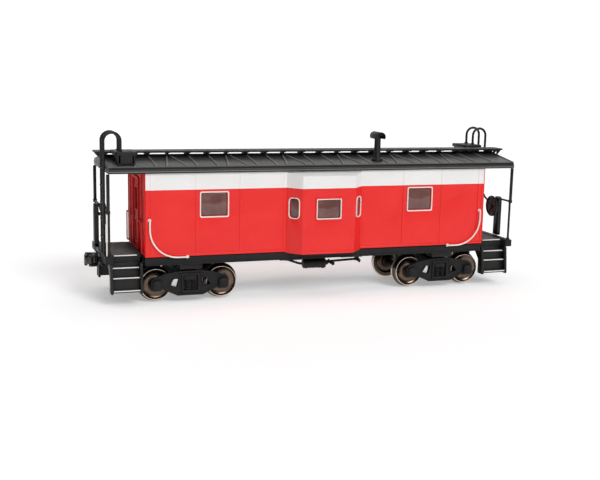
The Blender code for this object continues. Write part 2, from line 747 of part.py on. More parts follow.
# ------------------------------------------------------------ brake rigging
def brake_cylinder():
    y, z, r = -8.0, 9.3, 1.55
    add = [rod((-4.6, y, z), (1.8, y, z), r, 16)]
    add.append(rod((1.6, y, z), (2.6, y, z), r + 0.25, 16))
    add.append(rod((2.4, y, z), (4.0, y, z), 1.0, 12, 0.6))
    for x in (-3.9, 0.2):
        add.append(box(x, x + 0.9, y - 0.6, y + 0.6, z, 13.05))
    return piece("brake_cylinder", BLACK, add)


def air_reservoir():
    y, z = 7.6, 9.6
    add = [rod((-7.5, y, z), (6.5, y, z), 2.3, 16)]
    for x in (-5.0, 4.0):
        add.append(box(x - 0.5, x + 0.5, y - 1.8, y + 1.8, z, 13.05))
    return piece("air_reservoir", BLACK, add)


def brake_rigging():
    """A pull rod hung below the floor, its lever and the plate of the retaining gear."""
    y = -5.0
    add = [tube([(-14.5, y, 12.3), (-4.5, y, 8.6), (15.5, y, 9.4)], 0.38, 6)]
    add.append(box(4.9, 5.8, -9.2, -4.4, 8.6, 9.4))
    add.append(box(7.7, 15.2, -9.5, -6.2, 10.9, 11.6))
    for x in (8.3, 13.9):
        add.append(box(x, x + 0.8, -8.2, -7.4, 11.3, 13.05))
    add.append(box(14.3, 15.1, -8.5, -4.6, 9.1, 9.8))
    add.append(box(14.3, 15.1, -7.0, -6.3, 9.3, 11.2))
    add.append(box(-14.9, -14.1, -5.4, -4.6, 11.9, 13.05))
    return piece("brake_rigging", BLACK, add)


brake_cylinder()
air_reservoir()
brake_rigging()


# -------------------------------------------------------------------- trucks
def truck(name, x, parent):
    """Rigid truck: two side frames joined by a bolster, journal cones inside."""
    add, cut = [], []
    hb = WHEELBASE / 2
    outline = [
        (-11.9, 4.3), (-11.9, 6.7), (-11.0, 7.7), (-7.6, 8.9), (-3.4, 9.6), (3.4, 9.6),
        (7.6, 8.9), (11.0, 7.7), (11.9, 6.7), (11.9, 4.3), (8.6, 4.3), (3.9, 2.1),
        (-3.9, 2.1), (-8.6, 4.3),
    ]
    for s in (-1, 1):
        y0, y1 = sorted((s * 10.75, s * 11.95))
        add.append(prism([(x + a, b) for a, b in outline], "y", y0, y1))
        for d in (-1, 1):
            cx = x + d * hb
            y2, y3 = sorted((s * 10.75, s * 13.1))
            add.append(prism(rounded(cx, AXLE_Z, 2.9, 3.1, 0.6, 2), "y", y2, y3))
            y4, y5 = sorted((s * 12.9, s * 13.35))
            add.append(prism(rounded(cx, AXLE_Z + 0.1, 2.2, 2.4, 0.5, 2), "y", y4, y5))
            hole = [(d * 3.3, 3.9), (d * 3.3, 7.7), (d * 6.6, 7.3), (d * 7.2, 5.6)]
            cut.append(prism([(x + a, b) for a, b in hole], "y", s * 9.0, s * 15.0))
            cut.append(rod((cx, s * 10.0, AXLE_Z), (cx, s * 11.9, AXLE_Z), 1.05, 8))
            cut.append(rod((cx, s * 11.8, AXLE_Z), (cx, s * 12.75, AXLE_Z), 1.05, 8, 0.15))
        # spring window, filled by the bolster end over a spring plank
        cut.append(prism([(x - 2.1, 3.6), (x + 2.1, 3.6), (x + 2.1, 8.2), (x - 2.1, 8.2)],
                         "y", s * 11.45, s * 15.0))
        y6, y7 = sorted((s * 10.9, s * 12.1))
        add.append(box(x - 1.9, x + 1.9, y6, y7, 6.7, 8.4))
        for d in (-1, 1):
            add.append(rod((x + d * 0.95, s * 11.55, 3.4), (x + d * 0.95, s * 11.55, 6.9), 0.62, 8))
    add.append(box(x - 2.9, x + 2.9, -10.9, 10.9, 7.5, 9.4))
    add.append(rod((x, 0, 7.6), (x, 0, 10.4), 3.1, 20))
    cut.append(rod((x, 0, 6.0), (x, 0, 12.0), 1.05, 12))
    return piece(name, BLACK, add, cut, origin=(x, 0.0, 10.4), parent=parent)


def wheelset(name, x, parent):
    back = BACK_TO_BACK / 2
    face = back + WHEEL_WIDTH
    tip = AXLE_Z
    half = [
        (back - 0.35, 0.95), (back - 0.35, 1.75), (back + 0.75, 2.0), (back + 0.75, 3.85),
        (back, 4.05), (back + 0.1, 5.2), (back + 0.38, TREAD_R + FLANGE), (back + 0.98, TREAD_R + 0.06),
        (face, TREAD_R - 0.04), (face, 4.05), (face - 0.75, 3.85), (face - 0.75, 2.0),
        (face + 0.2, 1.6), (face + 0.2, 0.74), (11.6, 0.7), (12.45, 0.0),
    ]
    profile = [(-y, r) for y, r in reversed(half)] + half
    obj = turned(profile, 18)
    obj.data.transform(Matrix.Translation((x, 0.0, tip)))
    return piece(name, WHEEL, [obj], origin=(x, 0.0, tip), smooth=35, parent=parent)


def truck_screw(name, x):
    add = [rod((x, 0, 6.3), (x, 0, 7.3), 1.75, 16), rod((x, 0, 7.0), (x, 0, 12.7), 0.85, 10)]
    cut = [box(x - 2.2, x + 2.2, -0.2, 0.2, 5.8, 6.75)]
    return piece(name, STEEL, add, cut, origin=(x, 0.0, 7.3))


for end, sx in (("left", -1), ("right", 1)):
    swivel = pivot("truck_pivot_" + end, (sx * TRUCK_X, 0.0, 10.4))
    truck("truck_frame_" + end, sx * TRUCK_X, swivel)
    truck_screw("truck_screw_" + end, sx * TRUCK_X)
    for tag, d in (("a", -1), ("b", 1)):
        wheelset("wheelset_" + end + "_" + tag, sx * TRUCK_X + d * WHEELBASE / 2, swivel)


# ------------------------------------------------------------------ couplers
def coupler(name, half_turn, parent):
    """Shank with an eye over the draft box post, flared head and guard arm."""
    z0, z1 = COUPLER_Z - SHANK_HALF, COUPLER_Z + SHANK_HALF
    px = COUPLER_PIVOT_X
    add = [box(px, 68.3, -1.0, 1.0, z0, z1), rod((px, 0, z0), (px, 0, z1), 1.5, 14)]
    low, high = HEAD_Z
    head = [(67.75, -1.6), (68.3, -2.8), (71.0, -3.3), (71.3, -2.5), (69.7, -1.9),
            (69.2, -0.6), (68.9, 0.6), (68.7, 1.6), (68.3, 1.9), (67.75, 1.4)]
    add.append(prism(head, "z", low, high))
    for a, b in ((low, 10.95), (13.05, high)):
        add.append(prism([(68.2, -1.0), (68.2, 2.7), (69.4, 2.9), (70.6, 2.6), (70.7, 1.7), (69.4, 1.1), (69.0, -0.6)],
                         "z", a, b))
    cut = [rod((px, 0, z0 - 1), (px, 0, z1 + 1), 0.8, 12),
           rod((KNUCKLE_X, KNUCKLE_Y, 9), (KNUCKLE_X, KNUCKLE_Y, 15), 0.4, 10)]
    return piece(name, BLACK, add, cut, origin=(px, 0.0, COUPLER_Z), half_turn=half_turn, parent=parent)


def knuckle(name, half_turn, parent):
    """The hooked jaw on its own pin between the head's two ears."""
    x, y = KNUCKLE_X, KNUCKLE_Y
    hook = [(69.35, 1.5), (69.55, 2.6), (70.3, 2.95), (71.3, 2.6), (71.75, 1.6), (71.8, -0.5),
            (71.2, -0.95), (70.75, -0.3), (70.85, 1.0), (70.4, 1.35), (69.8, 1.3)]
    add = [prism(hook, "z", 11.1, 12.9)]
    add.append(prism([(70.95, 0.9), (71.75, 1.5), (71.8, -0.5), (71.2, -0.95), (70.8, -0.3)], "z", 10.4, 13.6))
    add.append(rod((x, y, 10.2), (x, y, 13.8), 0.28, 8))
    return piece(name, STEEL, add, origin=(x, y, 12.0), half_turn=half_turn, parent=parent)


def draft_lid(name, half_turn):
    """Cover plate under the draft box with the post that the shank swings on."""
    px, shank = COUPLER_PIVOT_X, COUPLER_Z - SHANK_HALF
    add = [box(58.8, 67.05, -3.5, 3.5, LID_TOP - 0.6, LID_TOP)]
    add.append(rod((px, 0, LID_TOP - 0.3), (px, 0, COUPLER_Z + SHANK_HALF), 0.62, 12))
    add.append(box(59.9, 66.9, -2.55, 2.55, LID_TOP - 0.3, shank - GAP))
    cut = [rod((64.6, 0, LID_TOP - 1.0), (64.6, 0, LID_TOP - 0.3), 0.9, 12)]
    return piece(name, BLACK, add, cut, half_turn=half_turn)


for end, turned_round in (("left", True), ("right", False)):
    s = -1 if turned_round else 1
    swing = pivot("coupler_pivot_" + end, (s * COUPLER_PIVOT_X, 0.0, COUPLER_Z))
    jaw = pivot("knuckle_pivot_" + end, (s * KNUCKLE_X, s * KNUCKLE_Y, 12.0))
    jaw.parent = swing
    jaw.matrix_parent_inverse = swing.matrix_world.inverted()
    bpy.context.view_layer.update()
    coupler("coupler_" + end, turned_round, swing)
    knuckle("knuckle_" + end, turned_round, jaw)
    draft_lid("draft_lid_" + end, turned_round)
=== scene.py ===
"""Looks of the model bay-window caboose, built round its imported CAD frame.

Lengths in the tables and helpers are millimetres in the CAD frame: +X along the
car, +Z up, flange tips at z = 0.  Left and right ends are a half turn apart, and
each part of the car has one function that builds its pieces.
"""

from math import cos, pi, radians, sin

import bmesh
import bpy
from mathutils import Matrix, Vector


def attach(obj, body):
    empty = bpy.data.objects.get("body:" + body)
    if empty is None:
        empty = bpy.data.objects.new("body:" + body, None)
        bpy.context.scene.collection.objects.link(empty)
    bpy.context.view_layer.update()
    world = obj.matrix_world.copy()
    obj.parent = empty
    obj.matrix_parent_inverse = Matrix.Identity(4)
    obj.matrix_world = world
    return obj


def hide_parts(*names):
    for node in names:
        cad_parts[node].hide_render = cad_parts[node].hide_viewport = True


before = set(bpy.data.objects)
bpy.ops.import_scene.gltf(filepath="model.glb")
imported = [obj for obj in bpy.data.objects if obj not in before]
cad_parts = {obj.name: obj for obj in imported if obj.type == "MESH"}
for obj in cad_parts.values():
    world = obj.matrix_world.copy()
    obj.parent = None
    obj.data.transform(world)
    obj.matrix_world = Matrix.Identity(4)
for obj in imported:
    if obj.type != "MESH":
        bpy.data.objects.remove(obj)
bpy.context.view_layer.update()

MM = 0.001
TAU = 2 * pi
HALF_TURN = Matrix.Rotation(pi, 4, "Z")
MIRROR_Y = Matrix.Scale(-1, 4, (0, 1, 0))
MIRROR_X = Matrix.Scale(-1, 4, (1, 0, 0))
CAR = "carbody"


# ---- materials
class Nodes:
    """A material's node tree with short calls for the few node kinds used here."""

    def __init__(self, name):
        self.mat = bpy.data.materials.new(name)
        self.mat.use_nodes = True
        self.tree = self.mat.node_tree
        self.shader = self.tree.nodes["Principled BSDF"]
        self.coord = self.tree.nodes.new("ShaderNodeTexCoord").outputs["Object"]

    def add(self, kind, inputs=(), **settings):
        node = self.tree.nodes.new("ShaderNode" + kind)
        for key, value in settings.items():
            setattr(node, key, value)
        for key, value in dict(inputs).items():
            self.put(node.inputs[key], value)
        return node

    def put(self, socket, value):
        if isinstance(value, bpy.types.NodeSocket):
            self.tree.links.new(value, socket)
        else:
            socket.default_value = value

    def set(self, **inputs):
        for key, value in inputs.items():
            self.put(self.shader.inputs[key.replace("_", " ")], value)

    def noise(self, scale, detail=3.0, rough=0.5, distortion=0.0):
        return self.add("TexNoise", {"Vector": self.coord, "Scale": scale, "Detail": detail,
            "Roughness": rough, "Distortion": distortion}).outputs["Fac"]

    def spread(self, value, low, high, from_low=0.0, from_high=1.0):
        return self.add("MapRange", {"Value": value, "From Min": from_low, "From Max": from_high,
            "To Min": low, "To Max": high}).outputs["Result"]

    def blend(self, share, one, two):
        node = self.add("Mix", data_type="RGBA")
        self.put(node.inputs["Factor"], share)
        self.put(node.inputs["A"], one)
        self.put(node.inputs["B"], two)
        return node.outputs["Result"]

    def bump(self, height, strength, distance, under=None):
        node = self.add("Bump", {"Height": height, "Strength": strength, "Distance": distance})
        if under is not None:
            self.put(node.inputs["Normal"], under)
        return node.outputs["Normal"]


def rgb(r, g, b):
    """An opaque colour."""
    return (r, g, b, 1.0)


def moulded(name, colour, pale, roughness, peel=0.10, grain=0.0, dust=0.0, eave=None, **fixed):
    """Painted or self-coloured plastic: orange peel, flow clouds, a little settled dust, and, if asked, a
    painted sheen that lightens the colour towards the eaves.
    """
    n = Nodes(name)
    clouds = n.noise(95.0, 4.0, 0.6, distortion=0.4)
    tint = n.blend(n.spread(clouds, 0.0, 1.0, 0.3, 0.72), rgb(*colour), rgb(*pale))
    fine = n.noise(2600.0, 2.0, 0.55)
    tint = n.blend(n.spread(fine, 0.0, 0.16, 0.52, 0.8), tint, rgb(*[min(1, c * 1.35 + 0.004) for c in pale]))
    if dust:
        up = n.add("SeparateXYZ", {"Vector": n.add("NewGeometry").outputs["Normal"]}).outputs["Z"]
        flecks = n.spread(n.noise(1400.0, 5.0, 0.75), 0.0, dust, 0.45, 0.75)
        film = n.add("Math", operation="MULTIPLY")
        n.put(film.inputs[0], n.spread(up, 0.0, 1.0, 0.35, 0.98))
        n.put(film.inputs[1], flecks)
        tint = n.blend(film.outputs[0], tint, rgb(0.34, 0.335, 0.32))
    # eave: lighter colour by distance across the car, a painted reflection of the bright studio on the roof
    # near its eaves
    if eave:
        across = n.add("Math", {0: n.add("SeparateXYZ", {"Vector": n.coord}).outputs["Y"]},
            operation="ABSOLUTE")
        tint = n.blend(n.spread(across.outputs[0], 0.0, 1.0, 0.0035, 0.0125), tint, rgb(*eave))
    n.put(n.shader.inputs["Base Color"], tint)
    worn = n.noise(420.0, 4.0, 0.65)
    n.put(n.shader.inputs["Roughness"], n.spread(worn, roughness * 0.82, roughness * 1.22, 0.3, 0.7))
    skin = n.bump(fine, peel, 0.00004)
    if grain:
        skin = n.bump(n.noise(5200.0, 3.0, 0.7), grain, 0.00005, skin)
    n.put(n.shader.inputs["Normal"], skin)
    n.set(**fixed)
    return n.mat


RED = moulded("red_shell_plastic", (0.78, 0.014, 0.012), (0.84, 0.020, 0.016), 0.38, 0.07, Coat_Weight=0.12,
    Coat_Roughness=0.18, Specular_IOR_Level=0.36)
# a darker, rougher copy of the shell red for the end walls and their fittings: painted shade
END_RED = moulded("red_end_painted_shade", (0.62, 0.012, 0.011), (0.70, 0.017, 0.014), 0.52, 0.10,
    Specular_IOR_Level=0.14)
WHITE = moulded("white_band_paint", (0.80, 0.80, 0.785), (0.86, 0.855, 0.84), 0.40, 0.06, Coat_Weight=0.12,
    Coat_Roughness=0.2)
FRAME_WHITE = moulded("white_frame_paint", (0.82, 0.73, 0.70), (0.88, 0.80, 0.77), 0.42, 0.10)
WIRE_WHITE = moulded("cream_wire_paint", (0.84, 0.78, 0.72), (0.90, 0.85, 0.80), 0.36, 0.08)
BLACK = moulded("black_moulding", (0.0070, 0.0072, 0.0070), (0.0125, 0.0127, 0.0122), 0.42, 0.14, 0.05, 0.03,
    Specular_IOR_Level=0.34)
# the roof black carries a painted sheen, lighter towards the eaves
ROOF = moulded("roof_moulding", (0.014, 0.014, 0.0136), (0.022, 0.022, 0.0214), 0.44, 0.16, 0.08, 0.10,
    eave=(0.100, 0.100, 0.097))
# lighter black for the seam tops and the thin eave line: painted highlight
SEAM = moulded("roof_seam_painted_highlight", (0.16, 0.16, 0.155), (0.22, 0.22, 0.213), 0.40, 0.16, 0.08, 0.10)
# a lighter copy of the roof black for the fascia: painted sheen
EDGE = moulded("roof_edge_painted_sheen", (0.026, 0.023, 0.021), (0.038, 0.034, 0.031), 0.42, 0.12, 0.05, 0.05)
WALK = moulded("walkway_moulding", (0.0085, 0.0085, 0.0082), (0.014, 0.014, 0.0136), 0.46, 0.16, 0.08, 0.05,
    Specular_IOR_Level=0.32)
TREAD = moulded("tread_plate", (0.070, 0.068, 0.065), (0.115, 0.112, 0.108), 0.40, 0.2, 0.1, 0.30)
CHASSIS = moulded("chassis_plastic", (0.0052, 0.0054, 0.0054), (0.0095, 0.0098, 0.0096), 0.52, 0.22, 0.12,
    0.04, Specular_IOR_Level=0.30)
NOSING = moulded("white_nosing_paint", (0.74, 0.73, 0.70), (0.88, 0.87, 0.85), 0.45, 0.16)


def smoked():
    """Red-brown see-through plastic with a faint ripple."""
    n = Nodes("smoked_glazing_plastic")
    veil = n.noise(260.0, 3.0, 0.5)
    n.put(n.shader.inputs["Base Color"], n.blend(n.spread(veil, 0.0, 1.0, 0.3, 0.7), rgb(0.165, 0.066, 0.058),
        rgb(0.235, 0.112, 0.098)))
    n.put(n.shader.inputs["Roughness"], n.spread(n.noise(900.0, 3.0, 0.6), 0.05, 0.13, 0.3, 0.7))
    n.put(n.shader.inputs["Normal"], n.bump(n.noise(170.0, 2.0, 0.5), 0.10, 0.0002))
    n.set(Transmission_Weight=0.22, IOR=1.46, Coat_Weight=0.25, Coat_Roughness=0.06)
    return n.mat


def metal(name, dark, light, roughness, rings=False, scale=900.0):
    """Turned or barrel-plated metal: fine lathe rings about the axle, or tumbled mottling."""
    n = Nodes(name)
    mottle = n.noise(scale, 5.0, 0.65, distortion=0.5)
    n.put(n.shader.inputs["Base Color"], n.blend(n.spread(mottle, 0, 1, 0.3, 0.72), rgb(*dark), rgb(*light)))
    skin = n.bump(mottle, 0.08, 0.00003)
    if rings:
        lathe = n.add("TexWave", {"Vector": n.coord, "Scale": 1500.0, "Distortion": 0.8, "Detail": 2.0,
            "Detail Scale": 2.0}, wave_type="RINGS", rings_direction="Y").outputs["Fac"]
        skin = n.bump(lathe, 0.10, 0.00003, skin)
        n.put(n.shader.inputs["Roughness"], n.spread(lathe, roughness * 0.85, roughness * 1.25))
    else:
        n.put(n.shader.inputs["Roughness"],
            n.spread(n.noise(3000.0, 3.0, 0.6), roughness * 0.8, roughness * 1.3))
    n.put(n.shader.inputs["Normal"], skin)
    n.set(Metallic=1.0)
    return n.mat


GLAZING = smoked()
WHEEL_FACE = metal("bronzed_wheel", (0.105, 0.074, 0.056), (0.185, 0.135, 0.103), 0.22, True)
# a darker copy of the wheel metal for the tread: painted shade
WHEEL_TREAD = metal("tread_painted_shade", (0.075, 0.065, 0.058), (0.13, 0.112, 0.100), 0.20, True)
# a much brighter copy for the flange crest and the rim edge: painted highlight lines
WHEEL_EDGE = metal("tread_edge_painted_highlight", (0.56, 0.48, 0.42), (0.72, 0.63, 0.56), 0.24, True)
AXLE = metal("dark_axle", (0.030, 0.024, 0.020), (0.060, 0.048, 0.040), 0.38, True)
STEEL = metal("plated_jaw_steel", (0.055, 0.055, 0.052), (0.105, 0.104, 0.099), 0.42)
LEAD = metal("dull_ballast", (0.16, 0.16, 0.165), (0.25, 0.25, 0.25), 0.62, False, 260.0)


# ---- geometry
def new():
    return bmesh.new()


def ease(bm, faces, amount, segments=2, angle=28.0, mat=0):
    """Rounds the crisp edges of freshly added faces and gives them a material."""
    for f in faces:
        f.material_index = mat
        f.smooth = True
    if amount <= 0:
        return
    edges = dict.fromkeys(e for f in faces for e in f.edges)
    sharp = [e for e in edges if len(e.link_faces) == 2 and e.calc_face_angle(0.0) > radians(angle)]
    if sharp:
        made = bmesh.ops.bevel(bm, geom=sharp, offset=amount, segments=segments, profile=0.5, affect="EDGES",
            clamp_overlap=True, material=-1)
        for f in made["faces"]:
            f.material_index = mat
            f.smooth = True


def loft(bm, rings, mat=0, soft=0.0, caps=True, segments=2, angle=28.0):
    """Joins rings of points with quads and closes both ends."""
    rows = [[bm.verts.new(p) for p in ring] for ring in rings]
    faces = []
    n = len(rows[0])
    for one, two in zip(rows, rows[1:]):
        for k in range(n):
            m = (k + 1) % n
            faces.append(bm.faces.new((one[k], one[m], two[m], two[k])))
    if caps:
        faces.append(bm.faces.new(rows[0][::-1]))
        faces.append(bm.faces.new(rows[-1]))
    bmesh.ops.recalc_face_normals(bm, faces=faces)
    ease(bm, faces, soft, segments, angle, mat)


def box(bm, x0, x1, y0, y1, z0, z1, soft=0.08, mat=0):
    """A block between two corners, given in any order."""
    (x0, x1), (y0, y1), (z0, z1) = sorted((x0, x1)), sorted((y0, y1)), sorted((z0, z1))
    loft(bm, [[(x0, y0, z), (x1, y0, z), (x1, y1, z), (x0, y1, z)] for z in (z0, z1)], mat, soft)


PLACE = {"x": lambda a, b, t: (t, a, b), "y": lambda a, b, t: (a, t, b), "z": lambda a, b, t: (a, b, t)}


def facing(axis, at):
    """Puts an outline on the plane `at` across an axis, with depth t towards minus."""
    return lambda a, b, t: PLACE[axis](a, b, at - t)


def prism(bm, outline, axis, t0, t1, soft=0.08, mat=0, segments=2, angle=28.0):
    """An outline drawn out along an axis."""
    loft(bm, [[PLACE[axis](a, b, t) for a, b in outline] for t in (t0, t1)], mat, soft, True, segments, angle)


def ring_at(centre, along, r, n):
    """n points round an axis through the centre."""
    side = along.orthogonal().normalized()
    up = along.cross(side)
    return [centre + side * (r * cos(TAU * (k + 0.5) / n)) + up * (r * sin(TAU * (k + 0.5) / n))
        for k in range(n)]


def turned(bm, p0, p1, profile, n=24):
    """A lathe shape from p0 towards p1; a profile row is distance along, radius and, if not 0, material."""
    a, b = Vector(p0), Vector(p1)
    along = (b - a).normalized()
    side = along.orthogonal().normalized()
    up = along.cross(side)
    rows = []
    for row in profile:
        t, r = row[:2]
        c = a + along * t
        rows.append([bm.verts.new(c)]
            if r < 1e-6 else [bm.verts.new(c + side * (r * cos(TAU * k / n)) + up * (r * sin(TAU * k / n)))
            for k in range(n)])
    faces = []
    for i, (one, two) in enumerate(zip(rows, rows[1:])):
        use = profile[i][2] if len(profile[i]) > 2 else 0
        for k in range(n):
            m = (k + 1) % n
            if len(one) == 1 and len(two) == 1:
                continue
            if len(one) == 1:
                f = bm.faces.new((one[0], two[m], two[k]))
            elif len(two) == 1:
                f = bm.faces.new((one[k], one[m], two[0]))
            else:
                f = bm.faces.new((one[k], one[m], two[m], two[k]))
            f.material_index = use
            f.smooth = True
            faces.append(f)
    for row, turn in ((rows[0], -1), (rows[-1], 1)):
        if len(row) > 1:
            faces.append(bm.faces.new(row[::turn]))
    bmesh.ops.recalc_face_normals(bm, faces=faces)


def rod(bm, p0, p1, r, n=16):
    """A round bar with eased ends."""
    length = (Vector(p1) - Vector(p0)).length
    e = min(0.12, r * 0.4, length * 0.3)
    turned(bm, p0, p1, [(0, r - e), (e * 0.3, r - e * 0.3), (e, r), (length - e, r),
        (length - e * 0.3, r - e * 0.3), (length, r - e)], n)


def tube(bm, path, r, n=12):
    """Wire bent along a path, kept round through its bends."""
    pts = [Vector(p) for p in path]
    rings, side = [], None
    for i, p in enumerate(pts):
        before = (p - pts[i - 1]).normalized() if i else None
        after = (pts[i + 1] - p).normalized() if i < len(pts) - 1 else None
        along = (before if after is None else after if before is None else before + after).normalized()
        ref = before if before is not None else along
        side = along.orthogonal().normalized() if side is None else (side - ref * side.dot(ref)).normalized()
        up = ref.cross(side)
        ring = []
        for k in range(n):
            q = side * (r * cos(TAU * k / n)) + up * (r * sin(TAU * k / n))
            ring.append(p + q - ref * (q.dot(along) / max(0.3, ref.dot(along))))
        rings.append(ring)
        if i in (0, len(pts) - 1):
            inner = [p + (v - p) * 0.6 + (along if i else -along) * r * 0.35 for v in ring]
            rings.insert(len(rings) if i else 0, inner)
    loft(bm, rings)


def bend(path, radius, steps=5):
    """The same path with each corner turned into an arc."""
    pts = [Vector(p) for p in path]
    out = [pts[0]]
    for a, b, c in zip(pts, pts[1:], pts[2:]):
        u, v = (a - b), (c - b)
        d = min(radius, u.length * 0.45, v.length * 0.45)
        s, e = b + u.normalized() * d, b + v.normalized() * d
        for k in range(steps + 1):
            t = k / steps
            out.append(s * (1 - t) ** 2 + b * (2 * t * (1 - t)) + e * t * t)
    out.append(pts[-1])
    return out


def rivet(bm, at, normal, r, height, n=8):
    """A domed head standing on a face."""
    a, d = Vector(at), Vector(normal).normalized()
    turned(bm, a - d * 0.1, a + d, [(0, r), (0.1 + height * 0.35, r * 0.95), (0.1 + height * 0.8, r * 0.6),
        (0.1 + height, 0.0)], n)


def hexnut(bm, at, normal, r, height):
    """A six-sided nut standing on a face."""
    a, d = Vector(at), Vector(normal).normalized()
    loft(bm, [ring_at(a - d * 0.08, d, r, 6), ring_at(a + d * height, d, r, 6)], 0, r * 0.14)


def rounded(cx, cz, w, h, r, n=5):
    """A rectangle with round corners, as an outline."""
    out = []
    for sx, sz, start in ((1, 1, 0), (-1, 1, 90), (-1, -1, 180), (1, -1, 270)):
        for k in range(n + 1):
            a = radians(start + 90 * k / n)
            out.append((cx + sx * (w / 2 - r) + r * cos(a), cz + sz * (h / 2 - r) + r * sin(a)))
    return out


def inset(points, d):
    """A polygon moved in by d on every side, mitred."""
    n = len(points)
    area = sum(points[i][0] * points[(i + 1) % n][1] - points[(i + 1) % n][0] * points[i][1]
        for i in range(n))
    turn = 1 if area > 0 else -1
    out = []
    for i in range(n):
        p, q, s = Vector(points[i - 1]), Vector(points[i]), Vector(points[(i + 1) % n])
        u, v = (q - p).normalized(), (s - q).normalized()
        nu, nv = Vector((-u.y, u.x)) * turn, Vector((-v.y, v.x)) * turn
        m = (nu + nv).normalized()
        out.append(tuple(q + m * (d / max(0.35, m.dot(nu)))))
    return out


def collar(bm, outer, inner, place, t0, t1, soft=0.06, segments=2):
    """A flat ring between two outlines of equal count, from depth t0 to t1."""
    rows = [[bm.verts.new(place(a, b, t)) for a, b in o] for o,
        t in ((outer, t0), (outer, t1), (inner, t1), (inner, t0))]
    faces, n = [], len(outer)
    for i in range(4):
        one, two = rows[i], rows[(i + 1) % 4]
        for k in range(n):
            m = (k + 1) % n
            faces.append(bm.faces.new((one[k], one[m], two[m], two[k])))
    bmesh.ops.recalc_face_normals(bm, faces=faces)
    ease(bm, faces, soft, segments, 40.0)


def to_object(bm, name="work", mats=(), scale=MM):
    """Turns a bmesh into an object, by default from millimetres to metres."""
    mesh = bpy.data.meshes.new(name)
    bmesh.ops.scale(bm, vec=(scale, scale, scale), verts=bm.verts)
    bm.to_mesh(mesh)
    bm.free()
    obj = bpy.data.objects.new(name, mesh)
    bpy.context.scene.collection.objects.link(obj)
    for m in mats:
        mesh.materials.append(m)
    return obj


def carve(bm, cutters):
    """The bmesh less each closed cutter bmesh."""
    base = to_object(bm, scale=1.0)
    group = bpy.data.collections.new("cutters")
    made = []
    for c in cutters:
        bmesh.ops.recalc_face_normals(c, faces=c.faces)
        made.append(to_object(c, scale=1.0))
        group.objects.link(made[-1])
    mod = base.modifiers.new("cut", "BOOLEAN")
    mod.operation, mod.operand_type, mod.collection, mod.solver = "DIFFERENCE", "COLLECTION", group, "EXACT"
    bpy.context.view_layer.update()
    mesh = bpy.data.meshes.new_from_object(base.evaluated_get(bpy.context.evaluated_depsgraph_get()))
    out = bmesh.new()
    out.from_mesh(mesh)
    for o in [base, *made]:
        bpy.data.objects.remove(o, do_unlink=True)
    bpy.data.collections.remove(group)
    bpy.data.meshes.remove(mesh)
    return out


def soften(bm, amount, angle=30.0, segments=2):
    """Merges flat facets into panels, then rounds every crisp edge."""
    bmesh.ops.remove_doubles(bm, verts=bm.verts, dist=1e-4)
    bmesh.ops.dissolve_limit(bm, angle_limit=radians(1.0), verts=bm.verts, edges=bm.edges)
    ease(bm, list(bm.faces), amount, segments, angle)
    return bm


def piece(bm, name, mats, node=None, turn=None, body=CAR, origin=None, crisp=32.0):
    """Finishes a bmesh in millimetres as one shown piece, in place of a CAD node."""
    if turn is not None:
        bm.transform(turn)
        if turn.determinant() < 0:
            bmesh.ops.reverse_faces(bm, faces=bm.faces)
        if origin is not None:
            origin = turn @ Vector(origin)
    if origin is not None:
        bm.transform(Matrix.Translation(-Vector(origin)))
    mats = mats if isinstance(mats, tuple) else (mats,)
    obj = to_object(bm, name, mats)
    obj.data.set_sharp_from_angle(angle=radians(crisp))
    if origin is not None:
        obj.location = Vector(origin) * MM
    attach(obj, body)
    if node:
        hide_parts(node)


SIDES = (("near", None), ("far", HALF_TURN))
ENDS = (("left", None), ("right", HALF_TURN))
CORNERS = (("left", "near", None), ("right", "near", MIRROR_X), ("left", "far", MIRROR_Y),
    ("right", "far", HALF_TURN))

# ---- body shell
HX, HY, Z0, Z1 = 55.9, 13.8, 14.49, 40.0
BAND_Z = 34.34
BAY_B, BAY_F, BAY_OUT, BAY_Z0, BAY_Z1, BAY_RISE = 12.45, 8.58, 4.06, 14.1, 38.1, 0.95
WIN_Z, WIN_W, WIN_H, SURROUND = 29.8, 9.05, 7.95, 0.55
WINDOWS = (-35.1, 32.65)
BAY_WIN = (0.0, 28.0, 7.6, 5.75)
DOOR_LIGHT_Z = 30.4
SLANT_WIN = (28.2, 3.1, 5.8, 0.9)
slant_run = Vector((BAY_B - BAY_F, -BAY_OUT)).normalized()
slant_out = Vector((slant_run.y, -slant_run.x))
slant_mid = (Vector((-BAY_B, -HY)) + Vector((-BAY_F, -HY - BAY_OUT))) * 0.5 - slant_run * 0.08


def slant_place(side):
    """Puts an outline on one slanted bay wall, with t outwards."""
    def place(a, b, t):
        p = slant_mid + slant_run * a + slant_out * t
        return (p.x * -side, p.y, b)
    return place


def bay_block(grow, z0, z1, rise, y_in):
    """The closed bay block, grown or shrunk, with a sloped top."""
    b, f, out = BAY_B + grow * 0.45, BAY_F + grow * 0.45, HY + BAY_OUT + grow
    plan = [(-b, y_in), (-b, -HY), (-f, -out), (f, -out), (b, -HY), (b, y_in)]
    bm = new()
    tops = [z1 + rise * min(1.0, max(0.0, (y + out) / (out - HY))) for _, y in plan]
    low = [bm.verts.new((x, y, z0)) for x, y in plan]
    high = [bm.verts.new((x, y, z)) for (x, y), z in zip(plan, tops)]
    bm.faces.new(low[::-1])
    for i in range(6):
        j = (i + 1) % 6
        bm.faces.new((low[i], low[j], high[j], high[i]))
    bm.faces.new((high[0], high[1], high[4], high[5]))
    bm.faces.new((high[1], high[2], high[3], high[4]))
    return bm


def merge(*parts):
    """One bmesh from several, which are used up."""
    out = new()
    for bm in parts:
        mesh = bpy.data.meshes.new("join")
        bm.to_mesh(mesh)
        bm.free()
        out.from_mesh(mesh)
        bpy.data.meshes.remove(mesh)
    return out


def cutter(build):
    """A bmesh made by the given builder."""
    bm = new()
    build(bm)
    return bm


def half_turned(bm):
    bm.transform(HALF_TURN)
    return bm


